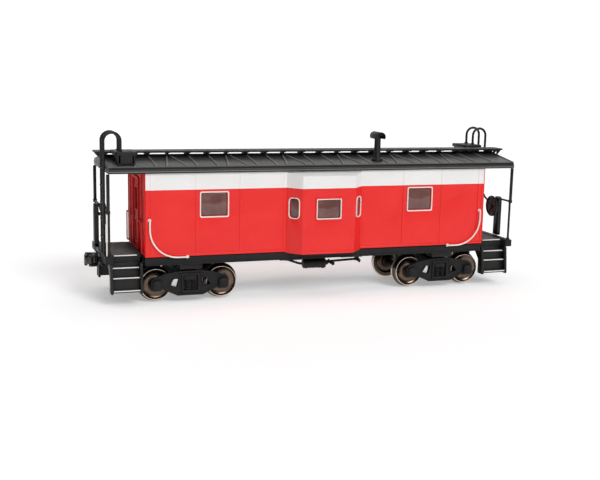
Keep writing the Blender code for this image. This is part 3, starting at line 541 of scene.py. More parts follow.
def painted(bm):
    """Splits the faces at the foot of the white band, paints what is above, and gives end-wall faces the
    darker red that is painted shade.
    """
    bmesh.ops.bisect_plane(bm, geom=bm.verts[:] + bm.edges[:] + bm.faces[:], dist=1e-5,
        plane_co=(0, 0, BAND_Z), plane_no=(0, 0, 1))
    for f in bm.faces:
        c = f.calc_center_median()
        inside = abs(c.y) < HY - 0.6 and abs(c.x) < HX - 0.6
        if c.z > BAND_Z and not inside and abs(c.y) > HY - 0.45:
            f.material_index = 1
        # end-wall faces take the darker red copy, painted shade
        elif abs(c.x) > HX - 0.3 and abs(c.y) < HY - 0.1:
            f.material_index = 2


def body_shell():
    """Hollow walls with window, bay and door openings."""
    shell = new()
    box(shell, -HX, HX, -HY, HY, Z0, Z1, 0)
    cuts = [cutter(lambda b: box(b, -HX + 1.1, HX - 1.1, -HY + 1.1, HY - 1.1, Z0 - 2, Z1 + 2, 0))]
    for far in (False, True):
        go = half_turned if far else (lambda b: b)
        for cx in WINDOWS:
            hole = rounded(cx, WIN_Z, WIN_W - 2 * SURROUND, WIN_H - 2 * SURROUND, 0.45)
            cuts.append(go(cutter(lambda b: prism(b, hole, "y", -HY - 2, -HY + 3, 0))))
        cuts.append(go(cutter(lambda b: box(b, -BAY_B + 0.9, BAY_B - 0.9, -HY - 1, -HY + 3, Z0 - 2, 37.4,
            0))))
        cuts.append(go(cutter(lambda b: box(b, -HX - 2, -HX + 3, -4.0, 4.0, 15.55, 36.5, 0))))
    shell = soften(carve(shell, cuts), 0.16, segments=3)
    painted(shell)
    piece(shell, "shell_walls", (RED, WHITE, END_RED), "body_shell")


def bay(side, turn):
    """The projecting bay: three walls and a sloped top, hollow behind."""
    block = bay_block(0.0, BAY_Z0, BAY_Z1, BAY_RISE, -HY + 1.0)
    inner = bay_block(-1.0, BAY_Z0 + 0.9, BAY_Z1 - 1.0, 0.5, -HY + 3.0)
    cuts = [inner, cutter(lambda b: prism(b, rounded(*BAY_WIN, 0.35), "y", -HY - BAY_OUT - 2,
        -HY - BAY_OUT + 3, 0))]
    for s in (-1, 1):
        z, w, h, r = SLANT_WIN
        hole, place = rounded(0.0, z, w, h, r), slant_place(s)
        cuts.append(cutter(lambda b: loft(b, [[place(a, c, t) for a, c in hole] for t in (-2.2, 1.5)])))
    bm = soften(carve(block, cuts), 0.15, angle=24.0, segments=3)
    for f in bm.faces:
        f.material_index = 0
    painted(bm)
    piece(bm, "bay_" + side, (RED, WHITE, END_RED), turn=turn)


def shell_trim(side, turn):
    """Raised battens, drip lip along the foot and seam lines of one side wall."""
    bm, y = new(), -HY
    for k in (2, 3, 4):
        for s in (-1, 1):
            x = s * 13.5 * k
            box(bm, x - 0.3, x + 0.3, y - 0.15, y + 0.3, Z0 + 0.6, 39.2, 0.07)
    for x0, x1 in ((-HX, -BAY_B + 0.1), (BAY_B - 0.1, HX)):
        lip = [(y + 0.3, Z0), (y - 0.1, Z0), (y - 0.24, Z0 + 0.12), (y - 0.24, Z0 + 0.62),
            (y - 0.06, Z0 + 0.8), (y + 0.3, Z0 + 0.8)]
        prism(bm, lip, "x", x0, x1, 0.05)
    for s in (-1, 1):
        box(bm, s * (BAY_B + 0.55), s * (BAY_B + 0.95), y - 0.09, y + 0.3, Z0 + 0.7, 39.2, 0.05)
        box(bm, s * 55.15, s * 55.75, y - 0.12, y + 0.3, Z0 + 0.7, 39.2, 0.06)
    yb = -HY - BAY_OUT
    lip = [(yb + 0.3, BAY_Z0), (yb - 0.1, BAY_Z0), (yb - 0.22, BAY_Z0 + 0.12), (yb - 0.22, BAY_Z0 + 0.6),
        (yb - 0.05, BAY_Z0 + 0.78), (yb + 0.3, BAY_Z0 + 0.78)]
    prism(bm, lip, "x", -BAY_F + 0.05, BAY_F - 0.05, 0.05)
    for f in bm.faces:
        f.material_index = 0
    painted(bm)
    piece(bm, "shell_trim_" + side, (RED, WHITE, END_RED), turn=turn)


def surrounds(side, turn):
    """White-edged surrounds of the wall and bay windows."""
    bm = new()
    for cx in WINDOWS:
        collar(bm, rounded(cx, WIN_Z, WIN_W - 0.1, WIN_H - 0.1, 0.6),
            rounded(cx, WIN_Z, WIN_W - 0.85, WIN_H - 0.85, 0.4), facing("y", -HY), -0.5, 0.3, 0.1, 3)
    piece(bm, "window_surrounds_" + side, FRAME_WHITE, turn=turn)
    bm, yb = new(), -HY - BAY_OUT
    cx, cz, w, h = BAY_WIN
    collar(bm, rounded(0.0, 27.95, 8.9, 7.5, 0.35), rounded(cx, cz, w + 0.5, h + 0.5, 0.3), facing("y", yb),
        -0.4, 0.24, 0.12, 3)
    z, w, h, _ = SLANT_WIN
    piece(bm, "bay_frame_" + side, RED, turn=turn)
    bm = new()
    collar(bm, rounded(cx, cz, BAY_WIN[2] + 0.62, BAY_WIN[3] + 0.62, 0.3),
        rounded(cx, cz, BAY_WIN[2] - 0.05, BAY_WIN[3] - 0.05, 0.3), facing("y", yb), -0.5, 0.2, 0.09, 3)
    for s in (-1, 1):
        collar(bm, rounded(0.0, z, w + 0.75, h + 0.75, 1.25), rounded(0.0, z, w + 0.15, h + 0.15, 1.0),
            slant_place(s), -0.5, 0.26, 0.1, 3)
    piece(bm, "bay_rims_" + side, FRAME_WHITE, turn=turn)


body_shell()
for side, turn in SIDES:
    bay(side, turn)
    shell_trim(side, turn)
    surrounds(side, turn)


def end_wall_trim(end, turn):
    """Door surround, corner battens and half-round ribs of one end wall."""
    bm, x = new(), -HX
    outer, inner = rounded(0, 26.25, 9.6, 22.2, 0.25, 2), rounded(0, 26.02, 8.0, 21.0, 0.15, 2)
    collar(bm, outer, inner, facing("x", x), -0.5, 0.5, 0.12)
    for y in (-13.45, 13.45):
        box(bm, x - 0.2, x + 0.3, y - 0.35, y + 0.35, 15.25, 39.2, 0.1)
    for y in (-9.2, 9.2):
        prism(bm, [(x + 0.3, y - 0.32), (x - 0.12, y - 0.32), (x - 0.32, y - 0.12), (x - 0.32, y + 0.12),
            (x - 0.12, y + 0.32), (x + 0.3, y + 0.32)], "z", 15.25, 39.2, 0.05)
    for y in (-5.6, 5.6):
        for z in (17.2, 36.6):
            rivet(bm, (x, y, z), (-1, 0, 0), 0.28, 0.16)
    piece(bm, "end_wall_trim_" + end, END_RED, turn=turn)


def door(end, turn):
    """Panelled end door with a glazed upper light, hinges and a knob."""
    x = -HX
    leaf = new()
    box(leaf, x + 0.1, x + 0.9, -3.85, 3.85, 15.7, 36.35, 0)
    cuts = [cutter(lambda b: prism(b, rounded(0, DOOR_LIGHT_Z, 4.2, 7.0, 0.6), "x", x - 2, x + 2, 0)),
        cutter(lambda b: box(b, x - 1, x + 0.3, -2.5, 2.5, 17.3, 23.9, 0))]
    bm = soften(carve(leaf, cuts), 0.09)
    collar(bm, rounded(0, DOOR_LIGHT_Z, 5.3, 8.1, 0.9), rounded(0, DOOR_LIGHT_Z, 4.1, 6.9, 0.55),
        facing("x", x), -0.4, 0.1, 0.07)
    collar(bm, rounded(0, 20.6, 5.6, 7.2, 0.4), rounded(0, 20.6, 4.6, 6.2, 0.3), facing("x", x), -0.4, 0.06,
        0.07)
    for z in (18.6, 26.0, 33.8):
        rod(bm, (x + 0.02, -3.72, z - 0.8), (x + 0.02, -3.72, z + 0.8), 0.22, 12)
    piece(bm, "door_leaf_" + end, END_RED, "end_door_" + end, turn)
    bm = new()
    turned(bm, (x + 0.3, 3.2, 24.9), (x - 1, 3.2, 24.9), [(0, 0.32), (0.32, 0.32), (0.4, 0.12), (0.52, 0.12),
        (0.56, 0.24), (0.68, 0.28), (0.75, 0.18), (0.76, 0.0)], 16)
    piece(bm, "door_knob_" + end, STEEL, turn=turn)


for end, turn in ENDS:
    end_wall_trim(end, turn)
    door(end, turn)


# ---- glazing
def glazing():
    """Every pane, set behind its opening."""
    for side, turn in SIDES:
        for tag, cx in zip("ab", WINDOWS):
            bm = new()
            prism(bm, rounded(cx, WIN_Z, WIN_W - 1.4, WIN_H - 1.4, 0.4), "y", -HY + 0.1, -HY + 1.4, 0.08)
            box(bm, cx - 4.6, cx + 4.6, -HY + 1.25, -HY + 1.75, WIN_Z - 4.1, WIN_Z + 4.1, 0.05)
            piece(bm, "wall_glass_" + side + "_" + tag, GLAZING, "window_pane_" + side + "_" + tag, turn)
        bm, yb = new(), -HY - BAY_OUT
        prism(bm, rounded(0, 28.0, 7.3, 5.45, 0.3), "y", yb + 0.35, yb + 1.3, 0.08)
        prism(bm, [(-8.0, yb + 1.2), (8.0, yb + 1.2), (10.8, yb + 4.0), (10.1, yb + 4.0), (7.6, yb + 1.65),
            (-7.6, yb + 1.65), (-10.1, yb + 4.0), (-10.8, yb + 4.0)], "z", 23.9, 32.2, 0.04)
        z, w, h, r = SLANT_WIN
        for s in (-1, 1):
            place = slant_place(s)
            hole = rounded(0.0, z, w - 0.25, h - 0.25, r - 0.1)
            loft(bm, [[place(a, c, t) for a, c in hole] for t in (-0.95, -0.3)], 0, 0.06)
        piece(bm, "bay_glass_" + side, GLAZING, "bay_glazing_" + side, turn)
    for end, turn in ENDS:
        bm = new()
        prism(bm, rounded(0, DOOR_LIGHT_Z, 3.9, 6.7, 0.5), "x", -HX + 0.4, -HX + 1.3, 0.07)
        box(bm, -HX + 1.05, -HX + 1.5, -2.7, 2.7, 26.3, 34.5, 0.05)
        piece(bm, "door_glass_" + end, GLAZING, "door_pane_" + end, turn)


glazing()


# ---- roof
ROOF_HX, ROOF_HY, EAVE_Z, RIDGE_Z, LIP_HY, LIP_Z = 66.5, 14.05, 41.24, 43.3, 14.4, 39.29
PITCH = 6.17
slope = (RIDGE_Z - EAVE_Z) / ROOF_HY


def roof_z(y):
    """Height of the sheet above a place across the car."""
    return RIDGE_Z - slope * abs(y)


def seam(bm, x_eave, x_ridge, side):
    """A half-round raised seam that runs from the eave to the ridge, in the lighter seam material that is a
    painted highlight, with a dark strip beside it that is a painted shadow.
    """
    w, rise = 0.27, 0.30
    rings = []
    for t in (0.0, 0.012, 0.5, 0.988, 1.0):
        x = x_eave + (x_ridge - x_eave) * t
        y = side * (ROOF_HY - 0.2 - (ROOF_HY - 0.7) * t)
        s = 0.55 if t in (0.0, 1.0) else 1.0
        rings.append([(x + w * s * cos(a), y, roof_z(y) - 0.02 + rise * s * sin(a))
            for a in [pi * k / 6 for k in range(7)]] + [(x - w * s, y, roof_z(y) - 0.3),
            (x + w * s, y, roof_z(y) - 0.3)])
    # the seam takes the lighter seam material, a painted highlight
    loft(bm, rings, 1)
    # a thin dark strip beside each seam: painted shadow of the seam
    strip = [[(x_eave + (x_ridge - x_eave) * t + d, side * (ROOF_HY - 0.5 - (ROOF_HY - 1.0) * t),
        roof_z(ROOF_HY - 0.5 - (ROOF_HY - 1.0) * t) + up) for d,
        up in ((-0.56, -0.1), (-0.56, 0.025), (-0.2, 0.035), (-0.2, -0.1))] for t in (0.0, 1.0)]
    loft(bm, strip, 2)


def roof():
    """Gabled sheet with its eave mouldings, gable flashing, seams and ridge cap, with painted highlights,
    sheen and shade in its lighter and darker blacks.
    """
    bm = new()
    under = 40.15
    section = [(-LIP_HY, LIP_Z), (-13.95, LIP_Z), (-13.95, under), (13.95, under), (13.95, LIP_Z),
        (LIP_HY, LIP_Z), (LIP_HY, 40.35), (ROOF_HY, 40.48), (ROOF_HY, EAVE_Z), (0.0, RIDGE_Z),
        (-ROOF_HY, EAVE_Z), (-ROOF_HY, 40.48), (-LIP_HY, 40.35)]
    prism(bm, section, "x", -ROOF_HX, ROOF_HX, 0.1, 0, 3, 20.0)
    for s in (-1, 1):
        box(bm, s * 65.9, s * ROOF_HX, -14.1, 14.1, LIP_Z, under + 0.3, 0.1)
        box(bm, s * 66.3, s * 66.62, -14.2, 14.2, 40.2, 40.6, 0.08)
        for y in (-9.5, -4.7, 0.0, 4.7, 9.5):
            box(bm, s * 56.3, s * 65.95, y - 0.35, y + 0.35, under - 0.55, under + 0.2, 0.08)
        for side in (-1, 1):
            # narrow strip of edge flashing along the gable
            y0, y1 = side * 0.3, side * (ROOF_HY - 0.1)
            rings = [[(s * 66.45, y, roof_z(y) - 0.2), (s * 66.45, y, roof_z(y) + 0.14),
                (s * 65.8, y, roof_z(y) + 0.14), (s * 65.8, y, roof_z(y) - 0.2)] for y in (y0, y1)]
            loft(bm, rings, 0, 0.05)
    for side in (-1, 1):
        feet = []
        for s in (-1, 1):
            for k in (0.5, 2.5, 3.5, 5.5, 6.5, 8.5, 9.5):
                feet.append((s * k * PITCH, s * k * PITCH))
            for k in (1.5, 4.5, 7.5):
                for d in (-1, 1):
                    feet.append((s * k * PITCH + d * 3.1, s * k * PITCH + d * 0.42))
        for x_eave, x_ridge in feet:
            seam(bm, x_eave, x_ridge, side)
            y = side * (ROOF_HY - 0.55)
            for d in (-0.62, 0.62):
                rivet(bm, (x_eave + d, y, roof_z(y)), (0, side * slope, 1), 0.2, 0.14)
        # eave bands: the darkest black on the sheet edge and on the lowest band is painted shade, the lighter
        # roof-edge copy on the fascia a painted sheen, the thin strip in the seam material a painted
        # highlight line
        box(bm, -66.3, 66.3, side * 13.97, side * 14.12, 40.45, 41.08, 0.03, 2)
        box(bm, -66.4, 66.4, side * 14.0, side * 14.43, 39.6, 40.5, 0.05, 3)
        box(bm, -66.4, 66.4, side * 14.3, side * 14.47, 39.68, 39.9, 0.06, 1)
        box(bm, -66.4, 66.4, side * 14.3, side * 14.43, 39.3, 39.62, 0.04, 2)
        x = -ROOF_HX + 1.2
        while x < ROOF_HX - 1.0:
            rivet(bm, (x, side * LIP_HY, 39.7), (0, side, 0), 0.13, 0.08, 6)
            x += PITCH / 2
    cap = [(-0.95, 43.0), (-0.8, 43.45), (-0.4, 43.64), (0.4, 43.64), (0.8, 43.45), (0.95, 43.0)]
    prism(bm, cap, "x", -66.2, 66.2, 0.06, 2)
    for f in bm.faces:
        f.smooth = True
    piece(bm, "roof_sheet", (ROOF, SEAM, WALK, EDGE), "roof", crisp=24.0)


def running_board():
    """Three planks on saddles along the ridge, with a bracket below each end."""
    bm = new()
    z1, z0 = 44.84, 44.29
    for k in range(3):
        y = -3.3 + 2.2 * k
        box(bm, -68.5, 68.5, y + 0.05, y + 2.15, z0, z1, 0.09)
    box(bm, -68.2, 68.2, -3.1, 3.1, z0 + 0.02, z1 - 0.16, 0.02)
    for k in range(-11, 11):
        x = (k + 0.5) * PITCH
        if abs(x) < 65:
            thin = 0.3 if k % 3 == 1 else 0.62
            saddle = [(-1.5, 43.5), (-1.2, 44.4), (1.2, 44.4), (1.5, 43.5), (0.0, 43.6)]
            prism(bm, saddle, "x", x - 0.3 - thin, x - 0.3 + thin, 0.08)
            box(bm, x - 0.3 - thin, x - 0.3 + thin, -3.1, 3.1, 44.12, 44.4, 0.06)
            for y in (-2.2, 0.0, 2.2):
                for d in (-0.45, 0.45):
                    rivet(bm, (x + d, y, z1), (0, 0, 1), 0.15, 0.07, 6)
    for s in (-1, 1):
        for y in (-2.2, 0.0, 2.2):
            prism(bm, [(s * 66.9, z0 + 0.1), (s * 68.2, z0 + 0.1), (s * 68.1, z0 - 0.25),
                (s * 66.9, z0 - 1.6)], "y", y - 0.4, y + 0.4, 0.06)
    piece(bm, "walkway", WALK, "running_board")


def lateral_platform(end, turn):
    """Three planks in a deep edge frame on four feet, beside the running board."""
    bm = new()
    top = 45.5
    for k in range(3):
        x = -64.05 + 2.12 * k
        box(bm, x + 0.04, x + 2.06, -12.65, -3.55, top - 0.5, top, 0.09)
    for y in (-12.7, -3.9):
        box(bm, -64.1, -57.7, y, y + 0.4, top - 1.1, top - 0.12, 0.09)
    for x in (-64.1, -58.1):
        box(bm, x, x + 0.4, -12.7, -3.5, top - 1.1, top - 0.12, 0.09)
    skirt = [(-12.66, roof_z(12.66) + 0.35), (-12.66, top - 0.5), (-5.4, top - 0.5),
        (-5.4, roof_z(5.4) + 0.35)]
    for x in (-63.3, -58.6):
        prism(bm, skirt, "x", x - 0.2, x + 0.2, 0.06)
    box(bm, -63.3, -58.6, -12.6, -12.2, roof_z(12.6) + 0.4, top - 0.5, 0.06)
    for y in (-12.2, -8.2, -4.2):
        box(bm, -63.9, -57.9, y - 0.35, y + 0.35, top - 0.95, top - 0.3, 0.08)
        for x in (-63.6, -62.4, -61.5, -60.3, -59.3, -58.2):
            rivet(bm, (x, y, top), (0, 0, 1), 0.15, 0.07, 6)
    for x in (-62.9, -58.9):
        for y0, y1 in ((-12.6, -11.8), (-5.2, -4.4)):
            box(bm, x - 0.35, x + 0.35, y0, y1, roof_z(y0) + 0.35, top - 0.5, 0.08)
            box(bm, x - 0.55, x + 0.55, y0 - 0.2, y1 + 0.2, roof_z(y0) + 0.3, roof_z(y0) + 0.62, 0.07)
    piece(bm, "cross_walk_" + end, WALK, "lateral_platform_" + end, turn)


def smoke_jack():
    """Round stack on a riveted foot, with an arched hood."""
    bm, x, y, hood_z = new(), 19.0, -9.8, 49.55
    base = roof_z(y)
    turned(bm, (x, y, base - 0.1), (x, y, 60), [(0, 1.75), (0.55, 1.75), (0.72, 1.66), (0.8, 1.45),
        (0.95, 1.2), (1.25, 1.02), (7.2, 1.0), (7.25, 1.06), (7.55, 1.06), (7.6, 1.0), (8.3, 1.0)], 40)
    for k in range(6):
        a = TAU * k / 6
        rivet(bm, (x + 1.48 * cos(a), y + 1.48 * sin(a), base + 0.66), (0, 0, 1), 0.15, 0.12)
    arch = [radians(-32 + 244 * k / 24) for k in range(25)]

    def band(outer, inner):
        return [(x + r * cos(a), hood_z + r * sin(a)) for r,
            run in ((outer, arch), (inner, arch[::-1])) for a in run]

    prism(bm, band(1.45, 1.22), "y", y - 2.95, y + 2.95, 0.07, angle=50.0)
    for s in (-1, 1):
        prism(bm, band(1.47, 1.16), "y", y + s * 2.62, y + s * 2.95, 0.05, angle=50.0)
    rod(bm, (x, y, 49.0), (x, y, 50.85), 0.3, 12)
    for s in (-1, 1):
        box(bm, x - 1.3, x + 1.3, y + s * 0.5 - 0.12, y + s * 0.5 + 0.12, 49.2, 49.6, 0.05)
    for f in bm.faces:
        f.smooth = True
    piece(bm, "stove_pipe", WALK, "smoke_jack", crisp=38.0)


roof()
running_board()
smoke_jack()
for end, turn in ENDS:
    lateral_platform(end, turn)


# ---- underframe
TRUCK_X, AXLE_Z, HALF_BASE = 41.92, 5.46, 10.13
FLOOR_Z, FLOOR_HY = 15.0, 11.15


def tread_floor(bm, x0, x1):
    """Lozenge pattern raised on the platform floor."""
    step = 0.72
    row = 0
    y = -FLOOR_HY + 0.5
    while y < FLOOR_HY - 0.3:
        x = x0 + 0.35 + (step / 2 if row % 2 else 0)
        while x < x1 - 0.25:
            lean = 1 if row % 2 else -1
            a, b = 0.26, 0.09
            low = [(x - a, y - a * lean * 0.7), (x + b, y - b * lean), (x + a, y + a * lean * 0.7),
                (x - b, y + b * lean)]
            cap = [(x + (px - x) * 0.55, y + (py - y) * 0.55) for px, py in low]
            loft(bm, [[(px, py, FLOOR_Z - 0.02) for px, py in low],
                [(px, py, FLOOR_Z + 0.08) for px, py in cap]])
            x += step
        y += step * 0.5
        row += 1


def underframe():
    """Floor, sills, bolsters, draft boxes and platforms, with their treads and nosings."""
    bm = new()
    box(bm, -54.6, 54.6, -12.5, 12.5, 13.2, 14.85, 0.1)
    for side in (-1, 1):
        box(bm, -55.9, 55.9, side * 11.9, side * 13.45, 11.85, 14.3, 0.14)
        box(bm, -55.4, 55.4, side * 13.3, side * 13.62, 11.9, 12.35, 0.08)
        for k in range(-8, 9):
            if abs(k) != 8:
                for z in (12.9, 13.7):
                    rivet(bm, (k * 6.75 + 3.0, side * 13.45, z), (0, side, 0), 0.17, 0.11, 6)
        box(bm, -39.5, 39.5, side * 1.9, side * 2.7, 12.4, 13.4, 0.1)
        web = [(-39.3, 13.3), (-38.5, 12.2), (-24, 10.8), (24, 10.8), (38.5, 12.2), (39.3, 13.3)]
        prism(bm, web, "y", side * 2.0, side * 2.5, 0.06)
        prism(bm, [(-38.5, 12.2), (-24, 10.8), (24, 10.8), (38.5, 12.2), (38.5, 12.45), (24, 11.08),
            (-24, 11.08), (-38.5, 12.45)], "y", side * 1.7, side * 2.9, 0.06)
    for x in (-24.0, -12.0, 12.0, 24.0):
        box(bm, x - 0.45, x + 0.45, -12.0, 12.0, 12.1 if abs(x) < 20 else 11.9, 13.4, 0.1)
    for s in (-1, 1):
        box(bm, s * 54.0, s * 66.0, -3.6, 3.6, 12.75, 14.3, 0.1)
        box(bm, s * 56.15, s * 66.0, -FLOOR_HY, FLOOR_HY, 12.95, FLOOR_Z, 0.08)
        box(bm, s * 54.0, s * 57.0, -FLOOR_HY, FLOOR_HY, 12.95, 14.3, 0.08)
        box(bm, s * 65.2, s * 66.88, -13.9, 13.9, 12.95, 15.2, 0.14)
        for side in (-1, 1):
            box(bm, s * 66.6, s * 67.5, side * 4.65, side * 13.9, 12.95, 15.2, 0.14)
        box(bm, s * 66.6, s * 67.5, -5.0, 5.0, 13.9, 15.2, 0.12)
        for y in (-12.6, -9.0, -5.4, 5.4, 9.0, 12.6):
            for z in (13.6, 14.4):
                rivet(bm, (s * 67.5, y, z), (s, 0, 0), 0.2, 0.12)
        # bolster and centre plate
        prism(bm, [(s * TRUCK_X - 3.0, 13.4), (s * TRUCK_X - 2.6, 12.2), (s * TRUCK_X + 2.6, 12.2),
            (s * TRUCK_X + 3.0, 13.4)], "y", -12.2, 12.2, 0.1)
        for side in (-1, 1):
            box(bm, s * TRUCK_X - 3.5, s * TRUCK_X + 3.5, side * 8.6, side * 12.9, 10.25, 13.3, 0.14)
        # draft box
        for side in (-1, 1):
            box(bm, s * 58.8, s * 67.05, side * 2.8, side * 3.5, 11.1, 13.1, 0.1)
        box(bm, s * 58.8, s * 67.05, -3.5, 3.5, 12.62, 13.2, 0.05)
        box(bm, s * 58.8, s * 59.7, -3.5, 3.5, 11.1, 13.1, 0.08)
    # collar of each centre plate, bored for the truck screw
    for s in (-1, 1):
        turned(bm, (s * TRUCK_X, 0, 10.6), (s * TRUCK_X, 0, 14), [(2.2, 1.05), (0.0, 1.05), (0.0, 3.3),
            (0.1, 3.4), (2.2, 3.4)], 40)
    piece(bm, "floor_frame", CHASSIS, "underframe")
    bm = new()
    for s in (-1, 1):
        a, b = sorted((s * 56.4, s * 65.15))
        tread_floor(bm, a, b)
    piece(bm, "platform_treads", TREAD)
    bm = new()
    for s in (-1, 1):
        for side in (-1, 1):
            box(bm, s * 57.9, s * 64.6, side * 10.85, side * 11.22, FLOOR_Z - 0.22, FLOOR_Z + 0.06, 0.05)
    piece(bm, "platform_nosings", NOSING)


underframe()
NOSES = ((12.2, 11.5), (13.1, 8.6), (14.2, 4.95))


def steps(end, side, turn):
    """Riveted side plates with three treads and their risers."""
    tag, top = end + "_" + side, 12.8
    (y1, z1), (y2, z2), (y3, z3) = NOSES
    cheek = [(-6.6, top), (-13.35, top), (-13.62, 10.4), (-14.3, 3.9), (-11.05, 3.9), (-10.95, 8.6),
        (-8.7, 11.0), (-6.6, 11.7)]
    stair = [(10.9, top), (10.9, z1), (y1, z1), (y1, z1 - 0.5), (11.75, z1 - 0.6), (11.75, z2), (y2, z2),
        (y2, z2 - 0.5), (12.65, z2 - 0.6), (12.65, z3), (y3, z3), (y3, z3 - 0.6), (12.05, z3 - 0.65),
        (12.05, z2 - 0.75), (11.15, z2 - 0.65), (11.15, z1 - 0.75), (10.3, z1 - 0.65), (10.3, top)]
    bm = new()
    for x0, x1 in ((-57.3, -56.65), (-65.95, -65.3)):
        prism(bm, cheek, "x", x0, x1, 0.1)
        outer = x0 if x0 < -60 else x1
        edge = [(-13.3, 12.6), (-13.58, 10.4), (-14.22, 4.15), (-13.95, 4.15), (-13.3, 10.4), (-13.02, 12.6)]
        prism(bm, edge, "x", outer - 0.12, outer + 0.12, 0.05)
        for z in (5.2, 7.0, 8.8, 10.6):
            y = -11.6 - (12.8 - z) * 0.15
            rivet(bm, (outer, y, z), (1 if outer == x1 else -1, 0, 0), 0.18, 0.1)
    prism(bm, [(-a, b) for a, b in stair], "x", -65.5, -57.1, 0.06)
    for y, z in NOSES:
        for k in range(12):
            x = -64.7 + k * 0.62
            box(bm, x, x + 0.3, -y + 0.42, -y + 0.95, z - 0.02, z + 0.06, 0.02, 1)
    piece(bm, "stair_" + tag, (BLACK, TREAD), "steps_" + tag, turn)
    bm = new()
    for y, z in NOSES:
        box(bm, -65.15, -57.45, -y - 0.05, -y + 0.26, z - 0.26, z + 0.05, 0.05)
    piece(bm, "stair_nosings_" + tag, NOSING, turn=turn)


for end, side, turn in CORNERS:
    steps(end, side, turn)


# ---- end platform
def railing(end, turn):
    """Two posts with a sagging rail between them, and the white wire beside one post."""
    bm, x, post_y, rail_z, slack_y = new(), -66.45, 13.3, 28.1, 4.4
    for y in (-post_y, post_y):
        rod(bm, (x, y, 27.9), (x, y, 39.14), 0.5, 20)
        rod(bm, (x + 0.16, y, 15.35), (x + 0.16, y, 28.4), 0.36, 16)
        turned(bm, (x, y, 27.55), (x, y, 40), [(0, 0.3), (0.05, 0.58), (0.35, 0.62), (0.95, 0.62),
            (1.2, 0.5)], 20)
        turned(bm, (x + 0.16, y, 15.32), (x + 0.16, y, 40),
            [(0, 0.62), (0.32, 0.62), (0.42, 0.45), (0.9, 0.38)], 16)
    path = [(x, -post_y, rail_z), (x, -slack_y, rail_z)]
    for k in range(1, 16):
        t = k / 16
        path.append((x, slack_y * (2 * t - 1), rail_z - 6 * t * (1 - t)))
    path += [(x, slack_y, rail_z), (x, post_y, rail_z)]
    tube(bm, path, 0.32, 12)
    for y in (-slack_y, slack_y):
        turned(bm, (x, y - 0.4, rail_z), (x, y + 2, rail_z),
            [(0, 0.3), (0.08, 0.43), (0.7, 0.43), (0.8, 0.3)], 14)
    piece(bm, "railing_" + end, BLACK, "end_railing_" + end, turn)
    bm = new()
    x -= 0.48
    tube(bm, [(x, -post_y, 15.36), (x, -post_y, 27.7)], 0.2, 12)
    piece(bm, "post_wire_" + end, WIRE_WHITE, "corner_handrail_" + end, turn)


def ladder(end, turn):
    """Two stiles that arch over onto the cross walk, joined by five rungs."""
    bm, stiles = new(), (-6.8, -11.3)
    x1, x0, top = -67.35, -62.45, 50.97
    r = (x0 - x1) / 2
    for y in stiles:
        path = [(x1, y, 15.36), (x1, y, top - r)]
        for k in range(1, 20):
            a = pi - pi * k / 20
            path.append(((x0 + x1) / 2 + r * cos(a), y, top - r + r * sin(a)))
        path += [(x0, y, top - r), (x0, y, 45.66)]
        tube(bm, path, 0.4, 14)
        turned(bm, (x0, y, 45.65), (x0, y, 50), [(0, 0.4), (0.0, 0.66), (0.22, 0.66), (0.3, 0.4)], 16)
        turned(bm, (x1, y, 15.34), (x1, y, 20), [(0, 0.5), (0.04, 0.56), (0.34, 0.56), (0.46, 0.4)], 16)
    for k in range(5):
        z = 20.3 + k * 5.07
        rod(bm, (x1, -6.85, z), (x1, -11.25, z), 0.24, 12)
        for y in stiles:
            turned(bm, (x1 - 0.48, y, z), (x1 + 2, y, z), [(0, 0.1), (0.02, 0.2), (0.14, 0.2), (0.16, 0.1)],
                10)
    piece(bm, "climbing_ladder_" + end, BLACK, "end_ladder_" + end, turn)


